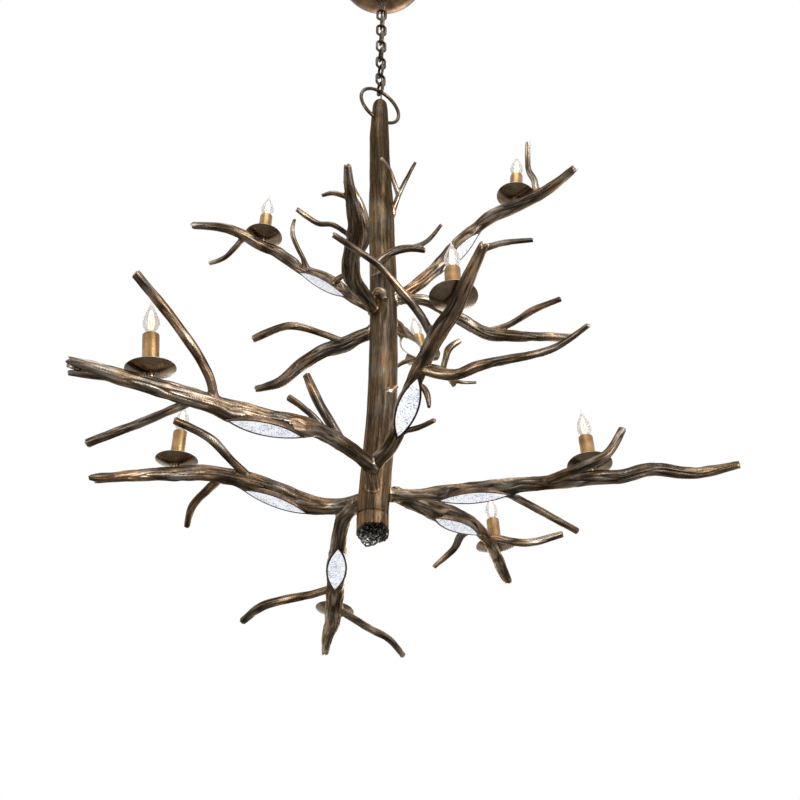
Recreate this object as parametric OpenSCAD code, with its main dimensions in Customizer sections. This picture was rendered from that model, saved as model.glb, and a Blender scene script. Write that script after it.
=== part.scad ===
// Branch chandelier: a hammered trunk on a chain, with forked limbs in two tiers,
// nine candle lights and nine lit glass leaves. Millimetres, +Z up.
// The origin is the centre of the canopy in the plane of the ceiling.

/* [Ceiling canopy] */
// Diameter of the canopy where it meets the ceiling
canopy_d = 280; // [240:5:340]
// Depth of the canopy below the ceiling
canopy_h = 42; // [34:1:60]
// Diameter of the flat bottom of the canopy
canopy_floor_d = 180; // [160:5:200]
// Thickness of the spun sheet of the canopy
canopy_wall = 1.5; // [1:0.1:2.5]
// Width of the strap
strap_w = 20; // [16:1:26]
// Thickness of the strap
strap_t = 2.5; // [2:0.5:4]
// Distance between the two slots in the strap
slot_spacing = 89; // [86:1:92]
// Width of each slot
slot_w = 5; // [4:0.5:6]
// Length of each slot
slot_l = 14; // [8:1:18]
// Metal left beyond each slot at the strap's ends
slot_end = 4.5; // [3:0.5:8]
// Diameter of the hollow threaded nipple
nipple_d = 10; // [9:0.5:13]
// Bore of the nipple
nipple_bore = 6; // [4:0.5:7]
// Diameter of the screw collar under the canopy
collar_d = 30; // [24:1:40]
// Height of the screw collar
collar_h = 14; // [12:1:20]
// Outer diameter of the eye under the collar
eye_d = 35; // [32:1:44]
// Diameter of the eye's wire
eye_wire = 7; // [6:0.5:8]
// Length of the driver for the lit leaves
driver_l = 110; // [80:1:120]
// Width of the driver
driver_w = 34; // [26:1:38]
// Height of the driver
driver_h = 20; // [14:1:24]

/* [Chain and ring] */
// Outer length of one chain link
link_l = 57; // [50:0.5:66]
// Outer width of one chain link
link_w = 34; // [31:0.5:40]
// Diameter of the chain's wire
link_wire = 8; // [6:0.5:9]
// Outer diameter of the hanging ring
ring_d = 139; // [132:1:150]
// Diameter of the ring's rod
ring_wire = 11; // [9:0.5:12]
// Diameter of the supply cord
cord_d = 4.5; // [3:0.5:5]

/* [Trunk] */
// Length of the trunk from its foot to its rounded top
trunk_l = 1425; // [1400:5:1460]
// Diameter of the trunk at its foot
trunk_foot_d = 70; // [64:1:80]
// Diameter of the trunk above the upper limbs
trunk_mid_d = 68; // [62:1:74]
// Diameter of the trunk where the ring goes through it
trunk_neck_d = 57; // [54:1:60]
// Wall of the trunk tube
trunk_wall = 4; // [3:0.5:6]
// Height of the collar at the trunk's foot
foot_collar_h = 40; // [25:1:55]
// Distance from the trunk's top down to the hole for the ring
hole_drop = 81; // [77:1:90]

/* [Branches] */
// Diameter of a limb at its root
limb_d = 32; // [28:0.5:35]
// Diameter of a twig at its root
twig_d = 15; // [12:0.5:17]

/* [Candles] */
// Diameter of a drip pan
pan_d = 98; // [90:1:106]
// Depth of a drip pan
pan_depth = 12; // [9:0.5:16]
// Thickness of a drip pan's sheet
pan_sheet = 1.5; // [1:0.1:2]
// Diameter of the boss between a limb and its drip pan
boss_d = 18; // [16:0.5:22]
// Height of the boss
boss_h = 8; // [7.5:0.5:12]
// Diameter of the hollow stud that holds a candle
stud_d = 10; // [9:0.5:11]
// Bore of the stud
stud_bore = 6; // [4:0.5:7]
// Thickness of the nut over the drip pan
nut_h = 4; // [3:0.5:6]
// Diameter of a lamp socket
socket_d = 20; // [18:0.5:24]
// Outer diameter of a candle cover
cover_d = 33; // [32:0.5:36]
// Length of a candle cover
cover_l = 84; // [78:1:98]
// Wall of a candle cover
cover_wall = 1.5; // [1:0.1:2.5]
// Diameter of the small screw that holds a candle cover
screw_d = 3; // [2:0.5:4]
// Diameter of a bulb's metal cap
cap_d = 12; // [10:0.5:13]
// Length of a bulb's metal cap
cap_l = 22; // [18:1:26]
// Largest diameter of a bulb's glass
bulb_d = 34; // [30:1:36]
// Length of a bulb's glass above its cap
bulb_l = 82; // [65:1:90]

/* [Glass leaves] */
// Length of a glass leaf
leaf_l = 144; // [120:2:152]
// Width of a glass leaf
leaf_w = 40; // [34:1:44]
// Thickness of the glass
leaf_t = 4; // [3:0.5:5]
// Width of the rim that frames the glass
rim_w = 4.5; // [3:0.5:6]
// Depth of the leaf housing
housing_h = 11; // [9:0.5:14]
// How far the housing is let into the limb
housing_set = 6; // [5:0.5:7]

/* [Hidden] */
$fn = 48;
fine = 64;
// Room between pieces that fit into each other
fit = 0.1;
// Room between pieces that move on each other
play = 0.3;

chain_links = 13;
// Each link of the chain is turned a little further than a right angle
chain_twist = 3.3;
// Direction of the ring's plane, seen from above
ring_turn = 33;

// Heights of the hanging parts, from the ceiling down
eye_z = -canopy_h - collar_h - (eye_d - eye_wire) / 2;
eye_low_z = eye_z - (eye_d - eye_wire) / 2;
link_run = link_l - link_wire;
link_pitch = link_run - link_wire - play;
first_link_z = eye_low_z + (eye_wire + link_wire) / 2 + play - link_run / 2;
function link_z(k) = first_link_z - (k - 1) * link_pitch;
function link_turn(k) = ring_turn + 90 - (chain_links - k) * (90 + chain_twist);
chain_low_z = link_z(chain_links) - link_run / 2;
ring_r = (ring_d - ring_wire) / 2;
ring_z = chain_low_z + (link_wire + ring_wire) / 2 + play - ring_r;
ring_low_z = ring_z - ring_r;
// The tapering trunk has this share of its neck's diameter where the ring goes through
hole_share = 0.86;
ring_rise = ring_r - sqrt(ring_r * ring_r - pow(hole_share * trunk_neck_d, 2) / 4);
ring_hole_d = ring_wire + ring_rise + 4 * play;
ring_hole_z = ring_low_z + ring_rise / 2;
trunk_top_z = ring_hole_z + hole_drop;
foot_z = trunk_top_z - trunk_l;

// Thickness of the trunk's closed top
dome_t = 25;
mid = trunk_mid_d / trunk_foot_d;
neck = trunk_neck_d / trunk_foot_d;
// The line of the crooked trunk: x and y, a share of its length and a share of its diameter
trunk_crook = [
    [6, 0, 0.105, 1], [15, 0, 0.204, 1], [18, 0, 0.295, 0.99], [18, 0, 0.393, 0.97],
    [16, 0, 0.491, mid], [12, 0, 0.589, mid], [9, 0, 0.667, mid],
    [5, 0, 0.744, (mid + neck) / 2], [2, 0, 0.814, neck], [0, 0, 0.884, neck * 0.97],
    [0, 0, 0.919, neck * 0.91], [0, 0, 0.954, neck * 0.84]
];
trunk_dome = [[0, 0, 0.984, neck * 0.74], [0, 0, 0.994, neck * 0.58], [0, 0, 1, neck * 0.34]];
trunk_line = concat(
    [[0, 0, foot_collar_h, 1], [0, 0, foot_collar_h * 1.5, 1]],
    [for (p = concat(trunk_crook, trunk_dome)) [p[0], p[1], p[2] * trunk_l, p[3]]]
);

// Routes of the limbs and twigs above the trunk's foot, as x, y, height and a share of
// the limb's or the twig's diameter. A limb starts in the trunk or in the limb that it
// forks from, and is cut to fit it there.
low_front = [
    [0, 0, 82, 0.89], [0, -40, 97, 0.89], [0, -69, 120, 0.97], [37, -109, 148, 1],
    [57, -159, 172, 1], [71, -205, 192, 1], [87, -256, 213, 0.97], [105, -294, 232, 1.07],
    [140, -362, 263, 1.09], [164, -405, 273, 1.01], [193, -488, 295, 0.8], [217, -552, 314, 0.59]
];
low_front_twigs = [
    [
        [128, -329, 254, 1.2], [98, -374, 288, 1.2], [58, -404, 324, 1.11],
        [14, -447, 354, 1.01], [-76, -492, 394, 0.8]
    ],
    [
        [99, -284, 219, 1.4], [165, -303, 190, 1.59], [225, -342, 187, 1.41],
        [340, -413, 165, 1], [408, -480, 172, 0.66]
    ],
    [[208, -533, 308, 0.85], [249, -544, 317, 0.84], [310, -546, 324, 0.62]],
    [[52, -144, 164, 1], [91, -168, 153, 0.82], [131, -200, 153, 0.73]],
    [[93, -258, 208, 0.75], [112, -251, 183, 0.97], [117, -243, 151, 0.54]]
];

low_left_front = [
    [0, -69, 120, 1.01], [-25, -105, 123, 0.99], [-60, -155, 123, 0.99], [-128, -237, 112, 1.1],
    [-205, -275, 103, 1.27],
    [-285, -309, 107, 1.17], [-350, -339, 110, 1.15], [-415, -375, 110, 1.09],
    [-500, -414, 114, 0.93], [-562, -440, 118, 0.67]
];
low_left_front_twigs = [
    [[-300, -315, 109, 1.31], [-315, -361, 156, 1.28], [-378, -417, 234, 1.36], [-452, -477, 304, 1.3]],
    [[-335, -331, 109, 1.16], [-450, -281, 89, 1.24], [-560, -243, 65, 1.24]],
    [[-86, -189, 119, 0.93], [-121, -206, 159, 0.98], [-174, -219, 198, 0.97]],
    [[-60, -155, 122, 1.39], [-109, -206, 190, 1.4], [-138, -237, 244, 1.14]],
    [[-466, -399, 114, 1.53], [-515, -415, 104, 1.11], [-556, -431, 97, 0.69]]
];

low_left = [
    [0, 0, 95, 1.11], [-32, 44, 102, 1.13], [-95, 94, 118, 1.14], [-156, 96, 133, 1.2],
    [-216, 89, 153, 1.41], [-284, 72, 173, 1.24], [-374, 64, 188, 1.16],
    [-456, 71, 191, 1.08], [-515, 84, 198, 0.96], [-660, 117, 205, 0.62]
];
low_left_twigs = [
    [[-269, 76, 168, 1.26], [-325, 27, 203, 1.26], [-372, -15, 235, 1.35], [-446, -52, 256, 1.15]],
    [[-344, 66, 186, 1.38], [-421, 147, 155, 1.32], [-442, 202, 125, 0.91]],
    [[-590, 101, 202, 1.43], [-635, 103, 202, 1.41], [-664, 109, 205, 0.88]]
];

low_right = [
    [0, 0, 98, 0.81], [45, 5, 98, 0.79], [95, 8, 98, 0.79], [150, -2, 101, 0.85],
    [217, -12, 100, 1.06], [296, -27, 101, 0.99], [400, -42, 102, 0.96],
    [469, -49, 107, 0.97], [531, -51, 109, 0.93], [600, -57, 124, 0.89],
    [690, -49, 118, 0.8], [787, -68, 129, 0.52]
];
low_right_twigs = [
    [[370, -40, 102, 1.48], [441, -120, 91, 1.44], [489, -144, 108, 1.35], [527, -143, 170, 1.13]],
    [[273, -22, 94, 1.08], [301, -10, 84, 1.08], [339, 22, 82, 1.13], [455, 100, 58, 1.04]]
];

low_right_back = [
    [45, 5, 99, 0.91], [89, 67, 114, 1.19], [141, 119, 123, 1.31], [187, 159, 130, 1.35],
    [231, 211, 137, 0.98], [269, 284, 139, 0.86], [300, 383, 142, 0.9],
    [319, 447, 137, 0.89], [338, 506, 137, 0.71]
];
low_right_back_twigs = [
    [[235, 216, 136, 1.4], [204, 241, 127, 1.35], [184, 263, 99, 1.12], [137, 291, 66, 0.73]],
    [[263, 268, 139, 1.29], [365, 315, 145, 1.33], [460, 322, 174, 1.12]]
];

low_back = [
    [-32, 44, 102, 1.04], [-68, 101, 96, 1.08], [-82, 172, 76, 1.12], [-90, 245, 59, 1.31],
    [-96, 317, 43, 1.31], [-102, 407, 27, 1.35], [-112, 497, 16, 1.19],
    [-127, 566, 12, 0.92], [-138, 661, 1, 0.55]
];
low_back_twigs = [
    [[-97, 337, 39, 1.23], [-155, 372, 36, 1.3], [-274, 424, 32, 1.48], [-339, 503, 24, 1.31]],
    [[-103, 422, 26, 1.33], [-29, 506, 12, 1.3], [30, 567, 3, 1.21], [67, 629, -16, 1.03]]
];

up_left = [
    [0, 0, 628, 1.01], [-40, 5, 656, 1], [-81, 15, 698, 0.93], [-129, 21, 745, 1],
    [-184, 25, 776, 0.89], [-229, 28, 817, 0.98], [-265, 26, 845, 0.95],
    [-303, 19, 861, 0.91], [-348, -12, 868, 0.86], [-403, -31, 877, 0.73], [-484, -26, 890, 0.57]
];
up_left_twigs = [
    [[-346, -10, 865, 1.1], [-401, 48, 849, 0.97], [-446, 58, 833, 0.73]],
    [[-170, 24, 766, 0.84], [-209, -28, 823, 0.84], [-218, -43, 855, 0.77], [-213, -51, 889, 0.59]],
    [[-107, 19, 715, 1.11], [-98, -11, 716, 1.04], [-76, -36, 709, 0.89]]
];

up_front = [
    [0, 0, 610, 0.86], [-26, -69, 608, 1.06], [-54, -131, 607, 1.29], [-55, -203, 611, 1.28],
    [-41, -275, 625, 1.16], [-52, -353, 655, 0.85], [-58, -413, 687, 0.51]
];
up_front_twigs = [
    [[-56, -189, 610, 1.67], [-22, -235, 637, 1.67], [-34, -288, 684, 1.59], [-65, -331, 729, 1.21]],
    [[-47, -251, 619, 0.85], [-92, -278, 635, 0.81], [-130, -279, 641, 0.84], [-176, -309, 656, 0.77]],
    [[-52, -345, 651, 0.83], [-89, -351, 661, 0.77], [-118, -346, 657, 0.59]]
];

up_right_front = [
    [0, 0, 626, 0.88], [50, -5, 656, 0.92], [106, -10, 702, 1.03], [151, -15, 754, 1.01],
    [196, -23, 809, 1.1], [242, -36, 859, 0.95], [299, -62, 891, 1.06],
    [354, -81, 905, 1.05], [426, -122, 915, 0.87], [501, -177, 944, 0.55]
];
up_right_front_twigs = [
    [[404, -110, 911, 1.13], [401, -131, 941, 1.13], [385, -147, 974, 1.04], [383, -195, 1019, 0.8]]
];

up_right = [
    [50, -5, 656, 0.73], [86, -10, 650, 0.81], [122, -1, 652, 0.88], [168, 25, 647, 0.94],
    [217, 54, 634, 1.01], [284, 73, 606, 0.99], [375, 68, 595, 0.84], [490, 68, 592, 0.59]
];
up_right_twigs = [
    [[269, 71, 612, 1.06], [330, 61, 625, 1.11], [395, 37, 656, 1.19], [464, 20, 678, 0.95]]
];

up_back = [
    [0, 0, 576, 0.9], [42, 18, 592, 0.88], [67, 74, 615, 0.8], [84, 134, 636, 0.92],
    [99, 194, 657, 0.9], [114, 245, 672, 0.83], [126, 299, 683, 0.78],
    [177, 356, 707, 0.72], [200, 396, 712, 0.63], [213, 430, 710, 0.45]
];
up_back_twigs = [
    [[177, 356, 707, 1.1], [187, 357, 752, 1.22], [198, 354, 788, 1.45], [230, 350, 812, 1.02]],
    [[200, 396, 711, 0.79], [231, 422, 717, 0.77], [278, 431, 723, 0.64]],
    [[117, 255, 674, 0.98], [72, 241, 650, 0.92], [47, 229, 622, 0.65]]
];

up_left_back = [
    [0, 0, 558, 0.96], [-45, 19, 550, 1.05], [-81, 37, 543, 1.19], [-134, 51, 532, 1.07],
    [-188, 71, 504, 0.99], [-235, 86, 466, 0.82], [-298, 92, 446, 0.5]
];
up_left_back_twigs = [
    [[-72, 32, 544, 1.09], [-155, 6, 562, 1.13], [-220, -8, 564, 1.29], [-301, 11, 538, 1.28]]
];

// Each limb: its name, route, twigs, the limb it is cut to fit, and for a lit limb the
// point of its route that carries the glass leaf and the one that carries the candle
limbs = [
    ["lower_limb_front", low_front, low_front_twigs, [], 5, 9],
    ["lower_limb_left_front", low_left_front, low_left_front_twigs, low_front, 4, 7],
    ["lower_limb_left", low_left, low_left_twigs, [], 4, 7],
    ["lower_limb_right", low_right, low_right_twigs, [], 4, 7],
    ["lower_limb_right_back", low_right_back, low_right_back_twigs, low_right, 3, 6],
    ["lower_limb_back", low_back, low_back_twigs, low_left, 3, 6],
    ["upper_limb_left", up_left, up_left_twigs, [], 3, 7],
    ["upper_limb_right_front", up_right_front, up_right_front_twigs, [], 4, 7],
    ["upper_limb_back", up_back, up_back_twigs, [], 3, 6],
    ["upper_limb_front", up_front, up_front_twigs, up_left],
    ["upper_limb_right", up_right, up_right_twigs, up_right_front],
    ["upper_limb_left_back", up_left_back, up_left_back_twigs, []]
];
lit = 9;
// How far each candle leans, in degrees about x and about y
leans = [[0, 0], [11, -5], [6, 1], [-3, -1], [0, -3], [0, 7], [1, 2], [1, 5], [0, -10]];

// Twigs that grow straight from the trunk
trunk_fork = [
    [[0, 0, 905, 1], [28, -2, 930, 1], [40, -8, 965, 0.95], [60, -35, 1012, 0.9], [100, -75, 1080, 0.6]],
    [[54, -27, 998, 0.85], [30, -72, 1052, 0.8], [6, -86, 1082, 0.6]]
];
trunk_branch = [
    [[0, 0, 718, 1.5], [2, -45, 731, 1.5], [40, -76, 745, 1.4], [82, -90, 746, 1.3], [122, -86, 741, 0.9]],
    [[80, -88, 746, 0.9], [125, -98, 762, 0.85], [162, -120, 800, 0.6]]
];
trunk_stub = [
    [[0, 0, 660, 1.3], [4, -48, 642, 1.3], [20, -62, 622, 1.2], [22, -66, 596, 1]]
];
trunk_spur = [
    [[0, 0, 342, 1], [30, -26, 352, 0.95], [54, -32, 366, 0.6]]
];

limb_names = [for (l = limbs) l[0]];
link_names = [for (k = [1:chain_links]) str("chain_link_", k)];
pan_names = [for (k = [1:lit]) str("drip_pan_", k)];

// Points on a smooth line through the points of a route
function turn_through(a, b, c, d, t) =
    (2 * b + (c - a) * t + (2 * a - 5 * b + 4 * c - d) * t * t
    + (3 * b - a - 3 * c + d) * t * t * t) / 2;
function smooth(route, steps) = let (n = len(route) - 1) concat(
    [for (i = [0:n - 1]) for (k = [0:steps - 1])
        turn_through(route[max(i - 1, 0)], route[i], route[i + 1], route[min(i + 2, n)], k / steps)],
    [route[n]]
);

function place(p) = [p[0], p[1], p[2]];
function unit(v) = v / norm(v);
function heading(line, i) =
    unit(place(line[min(i + 1, len(line) - 1)]) - place(line[max(i - 1, 0)]));
// A direction that no part of the line runs along
function aside(line) =
    let (run = unit(place(line[len(line) - 1]) - place(line[0])))
    unit(cross(run, abs(run[2]) > 0.8 ? [1, 0, 0] : [0, 0, 1]));
function ring_of(line, i, d, sides, ref) =
    let (
        t = heading(line, i),
        u = unit(ref - t * (ref * t)),
        v = cross(t, u),
        r = d * line[i][3] / 2
    )
    [for (k = [0:sides - 1])
        place(line[i]) + r * (cos(360 * k / sides) * u + sin(360 * k / sides) * v)];

// A round rod along a line, whose diameter is d times each point's share
module rod(line, d, sides) {
    n = len(line);
    ref = aside(line);
    points = [for (i = [0:n - 1]) each ring_of(line, i, d, sides, ref)];
    walls = [for (i = [0:n - 2]) for (k = [0:sides - 1])
        let (a = i * sides + k, b = i * sides + (k + 1) % sides)
        each [[a, b + sides, b], [a, a + sides, b + sides]]];
    start = [for (k = [1:sides - 2]) [0, k, k + 1]];
    last = (n - 1) * sides;
    end = [for (k = [1:sides - 2]) [last, last + k + 1, last + k]];
    polyhedron(points, concat(walls, start, end), convexity = 10);
}

module limb_rod(route) {
    rod(smooth(route, 2), limb_d, 8);
}

module twigs(routes) {
    for (r = routes) rod(smooth(r, 2), twig_d, 6);
}

module in_trunk_frame() {
    translate([0, 0, foot_z]) children();
}

module at_candle(i) {
    p = limbs[i][1][limbs[i][5]];
    translate(place(p))
        rotate([leans[i][0], leans[i][1], 0])
            translate([0, 0, limb_d * p[3] / 2 - boss_sink]) children();
}

module at_leaf(i) {
    route = limbs[i][1];
    k = limbs[i][4];
    along = heading(route, k);
    translate(place(route[k]))
        rotate([0, -asin(along[2]), atan2(along[1], along[0])])
            translate([0, 0, -limb_d * route[k][3] / 2 + housing_set]) children();
}

module each_candle() {
    in_trunk_frame() for (i = [0:lit - 1]) at_candle(i) children();
}

module each_leaf() {
    in_trunk_frame() for (i = [0:lit - 1]) at_leaf(i) children();
}

// Heights on a candle above the flat that is cut for it on the limb
boss_sink = 2;
pan_z = boss_h;
nut_z = pan_z + pan_sheet;
socket_z = nut_z + nut_h;
stud_sink = 6;
stud_in_socket = 12;
socket_l = cover_l - nut_h - cover_wall - 1;
cap_proud = 2;
cap_seat_z = socket_z + socket_l - cap_l + cap_proud;
bulb_z = cap_seat_z + cap_l;
screw_z = nut_z + 9;

// The solid outline of the trunk, which limbs are cut to fit
module trunk_core() {
    rod(trunk_line, trunk_foot_d, 24);
}

module limb(i) {
    color("#3c332c") in_trunk_frame() difference() {
        union() {
            limb_rod(limbs[i][1]);
            twigs(limbs[i][2]);
        }
        trunk_core();
        if (len(limbs[i][3]) > 0) limb_rod(limbs[i][3]);
        if (i < lit) {
            at_leaf(i) leaf_pocket();
            at_candle(i) candle_seat();
        }
    }
}

module trunk_twigs(routes) {
    color("#3c332c") in_trunk_frame() difference() {
        twigs(routes);
        trunk_core();
    }
}

module candle_seat() {
    cylinder(h = limb_d, d = boss_d + 2 * fit);
    translate([0, 0, -stud_sink]) cylinder(h = stud_sink + 1, d = stud_d + 2 * fit);
}

// A leaf-shaped outline with pointed ends, widened by a rim
module leaf_outline(rim) {
    half = leaf_w / 2;
    bow = (leaf_l * leaf_l / 4 + half * half) / (2 * half);
    intersection_for (s = [-1, 1])
        translate([0, s * (bow - half)]) circle(r = bow + rim, $fn = 180);
}

module leaf_pocket() {
    translate([0, 0, -limb_d]) linear_extrude(limb_d) leaf_outline(rim_w + fit);
}

module ceiling_canopy() {
    wall = canopy_wall;
    edge = canopy_d / 2;
    floor_r = canopy_floor_d / 2;
    outer = [for (a = [0:15:90]) [floor_r + (edge - floor_r) * sin(a), -canopy_h * cos(a)]];
    inner = [for (a = [90:-15:0])
        [floor_r + (edge - floor_r - wall) * sin(a), -(canopy_h - wall) * cos(a)]];
    color("#6b4a30") difference() {
        rotate_extrude($fn = 96) polygon(concat([[0, -canopy_h]], outer, inner, [[0, -canopy_h + wall]]));
        translate([0, 0, -canopy_h - 1]) cylinder(h = wall + 2, d = nipple_d + 2 * fit);
        translate([cord_side, 0, -canopy_h - 1]) cylinder(h = wall + 2, d = bushing_d);
    }
}

strap_l = slot_spacing + slot_l + 2 * slot_end;
module mounting_strap() {
    color("silver") translate([0, 0, -strap_t]) difference() {
        linear_extrude(strap_t) square([strap_l, strap_w], center = true);
        translate([0, 0, -1]) cylinder(h = strap_t + 2, d = nipple_d + 2 * fit);
        for (s = [-1, 1]) translate([s * slot_spacing / 2, 0, -1]) linear_extrude(strap_t + 2) {
            square([slot_l - slot_w, slot_w], center = true);
            for (e = [-1, 1]) translate([e * (slot_l - slot_w) / 2, 0]) circle(d = slot_w);
        }
    }
}

nipple_low_z = -canopy_h - collar_h / 2;
module threaded_nipple() {
    color("gold") difference() {
        translate([0, 0, nipple_low_z]) cylinder(h = -nipple_low_z, d = nipple_d);
        translate([0, 0, nipple_low_z - 1]) cylinder(h = 2 - nipple_low_z, d = nipple_bore);
    }
}

module hex_nut(h, bore) {
    difference() {
        cylinder(h = h, d = bore * 1.7, $fn = 6);
        translate([0, 0, -1]) cylinder(h = h + 2, d = bore + 2 * fit, $fn = 48);
    }
}

module strap_nut() {
    color("silver") translate([0, 0, -strap_t - nut_h]) hex_nut(nut_h, nipple_d);
}

module canopy_loop() {
    color("#4a3423") union() {
        difference() {
            translate([0, 0, -canopy_h - collar_h]) cylinder(h = collar_h, d = collar_d);
            translate([0, 0, nipple_low_z]) cylinder(h = collar_h, d = nipple_d + 2 * fit);
        }
        translate([0, 0, eye_z]) rotate([0, 0, link_turn(0)]) rotate([90, 0, 0])
            rotate_extrude() translate([(eye_d - eye_wire) / 2, 0]) circle(d = eye_wire);
    }
}

driver_y = strap_w / 2 + driver_w / 2 + 4;
module leaf_driver() {
    color("white") translate([0, driver_y, canopy_wall - canopy_h]) linear_extrude(driver_h)
        square([driver_l, driver_w], center = true);
}

// The cord leaves the canopy through a bushing beside the collar
bushing_d = cord_d + 6;
cord_side = collar_d / 2 + bushing_d / 2 + 3;
module cord_bushing() {
    lip = 2;
    color("black") translate([cord_side, 0, -canopy_h]) difference() {
        union() {
            translate([0, 0, -lip]) cylinder(h = lip, d = bushing_d + 3);
            cylinder(h = canopy_wall + lip, d = bushing_d - 2 * fit);
        }
        translate([0, 0, -lip - 1]) cylinder(h = canopy_wall + 2 * lip + 2, d = cord_d + 2 * fit);
    }
}

// Beside the chain the cord lies in the corner between one link and the next
cord_out = sqrt(2) * (max(link_wire, ring_wire) / 2 + cord_d / 2 + 2 * play);
function beside(k) = let (a = link_turn(k) + 45)
    [cord_out * cos(a + cord_corner(k)), cord_out * sin(a + cord_corner(k)), link_z(k), 1];
// The corner on the same side of the chain, whichever way the link is turned
function cord_corner(k) = 90 * (chain_links - k) - 90;
cord_line = concat(
    [
        [cord_side, 0, canopy_wall - canopy_h + 20, 1],
        [cord_side, 0, -canopy_h - 6, 1],
        [cord_side, 2, eye_z, 1]
    ],
    [for (k = [1:chain_links]) beside(k)],
    [
        [cord_out * cos(ring_turn + 45), cord_out * sin(ring_turn + 45), chain_low_z - link_wire, 1],
        [0, 0, trunk_top_z + 6, 1],
        [0, 0, trunk_top_z - 8, 1],
        [0, 0, trunk_top_z - 2 * dome_t, 1]
    ]
);
module supply_cord() {
    color("#b87333") rod(smooth(cord_line, 3), cord_d, 8);
}

module chain_link(k) {
    bend = (link_w - link_wire) / 2;
    leg = link_run - 2 * bend;
    color("#33261c") translate([0, 0, link_z(k)]) rotate([0, 0, link_turn(k)]) union() {
        for (s = [-1, 1]) {
            translate([0, 0, s * leg / 2]) rotate([s * 90, 0, 0])
                rotate_extrude(angle = 180) translate([bend, 0]) circle(d = link_wire);
            translate([s * bend, 0, -leg / 2]) cylinder(h = leg, d = link_wire);
        }
    }
}

module hanging_ring() {
    color("#6b4a30") translate([0, 0, ring_z]) rotate([0, 0, ring_turn]) rotate([90, 0, 0])
        rotate_extrude($fn = 96) translate([ring_r, 0]) circle(d = ring_wire);
}

cord_hole_d = cord_d + 2;
hollow_line = concat(
    [[0, 0, foot_collar_h - 1, 1]],
    [for (k = [1:len(trunk_line) - len(trunk_dome) - 1]) trunk_line[k]],
    [[0, 0, trunk_l - dome_t, neck * 0.72]]
);
module trunk() {
    shrink = 2 * trunk_wall / trunk_foot_d;
    color("#3c332c") in_trunk_frame() difference() {
        trunk_core();
        rod([for (p = hollow_line) [p[0], p[1], p[2], p[3] - shrink]], trunk_foot_d, 24);
        translate([0, 0, trunk_l - 2 * dome_t]) cylinder(h = 3 * dome_t, d = cord_hole_d);
        translate([0, 0, trunk_l - hole_drop]) rotate([0, 90, ring_turn])
            cylinder(h = 2 * trunk_foot_d, d = ring_hole_d, center = true);
    }
}

module foot_collar() {
    color("#3c332c") in_trunk_frame() difference() {
        cylinder(h = foot_collar_h, d = trunk_foot_d);
        translate([0, 0, -1]) cylinder(h = foot_collar_h + 2, d = trunk_foot_d - 2 * trunk_wall);
    }
}

module drip_pan(i) {
    floor_r = cover_d / 2 + 1;
    edge = pan_d / 2;
    low = [for (a = [0:15:90])
        [floor_r + (edge - floor_r) * sin(a), pan_depth * (1 - cos(a)) * 0.9 + pan_depth * 0.1 * sin(a)]];
    color("#4a3423") in_trunk_frame() at_candle(i) translate([0, 0, pan_z]) rotate_extrude($fn = 96)
        polygon(concat(
            [[stud_d / 2 + fit, 0]],
            low,
            [for (k = [6:-1:0]) low[k] + [-0.3, pan_sheet]],
            [[stud_d / 2 + fit, pan_sheet]]
        ));
}

module candle_bosses() {
    color("#4a3423") each_candle() difference() {
        cylinder(h = boss_h, d = boss_d);
        translate([0, 0, -1]) cylinder(h = boss_h + 2, d = stud_d + 2 * fit);
    }
}

module candle_studs() {
    color("gold") each_candle() translate([0, 0, -stud_sink]) difference() {
        cylinder(h = stud_sink + socket_z + stud_in_socket, d = stud_d);
        translate([0, 0, -1]) cylinder(h = stud_sink + socket_z + stud_in_socket + 2, d = stud_bore);
    }
}

module pan_nuts() {
    color("gold") each_candle() translate([0, 0, nut_z]) hex_nut(nut_h, stud_d);
}

module lamp_sockets() {
    color("black") each_candle() translate([0, 0, socket_z]) difference() {
        cylinder(h = socket_l, d = socket_d);
        translate([0, 0, -1]) cylinder(h = stud_in_socket + 2, d = stud_d + 2 * fit);
        translate([0, 0, socket_l - cap_l + cap_proud]) cylinder(h = cap_l, d = cap_d + 2 * fit);
    }
}

module candle_covers() {
    mouth = bulb_neck_d + 6;
    color("#a5793f") each_candle() translate([0, 0, nut_z]) difference() {
        cylinder(h = cover_l, d = cover_d);
        translate([0, 0, -1]) cylinder(h = cover_l - cover_wall + 1, d = cover_d - 2 * cover_wall);
        cylinder(h = cover_l + 1, d = mouth);
        translate([0, 0, screw_z - nut_z]) rotate([90, 0, 0]) cylinder(h = cover_d, d = screw_d + 2 * fit);
    }
}

module cover_screws() {
    reach = cover_d / 2 + 0.6;
    color("#2a2018") each_candle() translate([0, 0, screw_z]) rotate([90, 0, 0])
        translate([0, 0, socket_d / 2 + fit]) cylinder(h = reach - socket_d / 2 - fit, d = screw_d);
}

module bulb_caps() {
    color("gold") each_candle() translate([0, 0, cap_seat_z]) cylinder(h = cap_l, d = cap_d);
}

// The flame-shaped glass: shares of its length and of its widest radius
bulb_neck_d = 13;
flame = [[0, 0.4], [0.08, 0.55], [0.2, 0.9], [0.32, 1], [0.45, 0.9], [0.62, 0.56], [0.8, 0.22], [0.92, 0.09]];
module bulb_glass() {
    wall = 1;
    outer = [for (p = flame) [p[1] * bulb_d / 2, p[0] * bulb_l]];
    inner = [for (k = [len(flame) - 2:-1:0]) [flame[k][1] * bulb_d / 2 - wall, flame[k][0] * bulb_l]];
    color([1, 0.95, 0.8, 0.5]) each_candle() translate([0, 0, bulb_z]) rotate_extrude($fn = 48)
        polygon(concat(outer, [[0, bulb_l], [0, bulb_l * 0.9]], inner));
}

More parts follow.
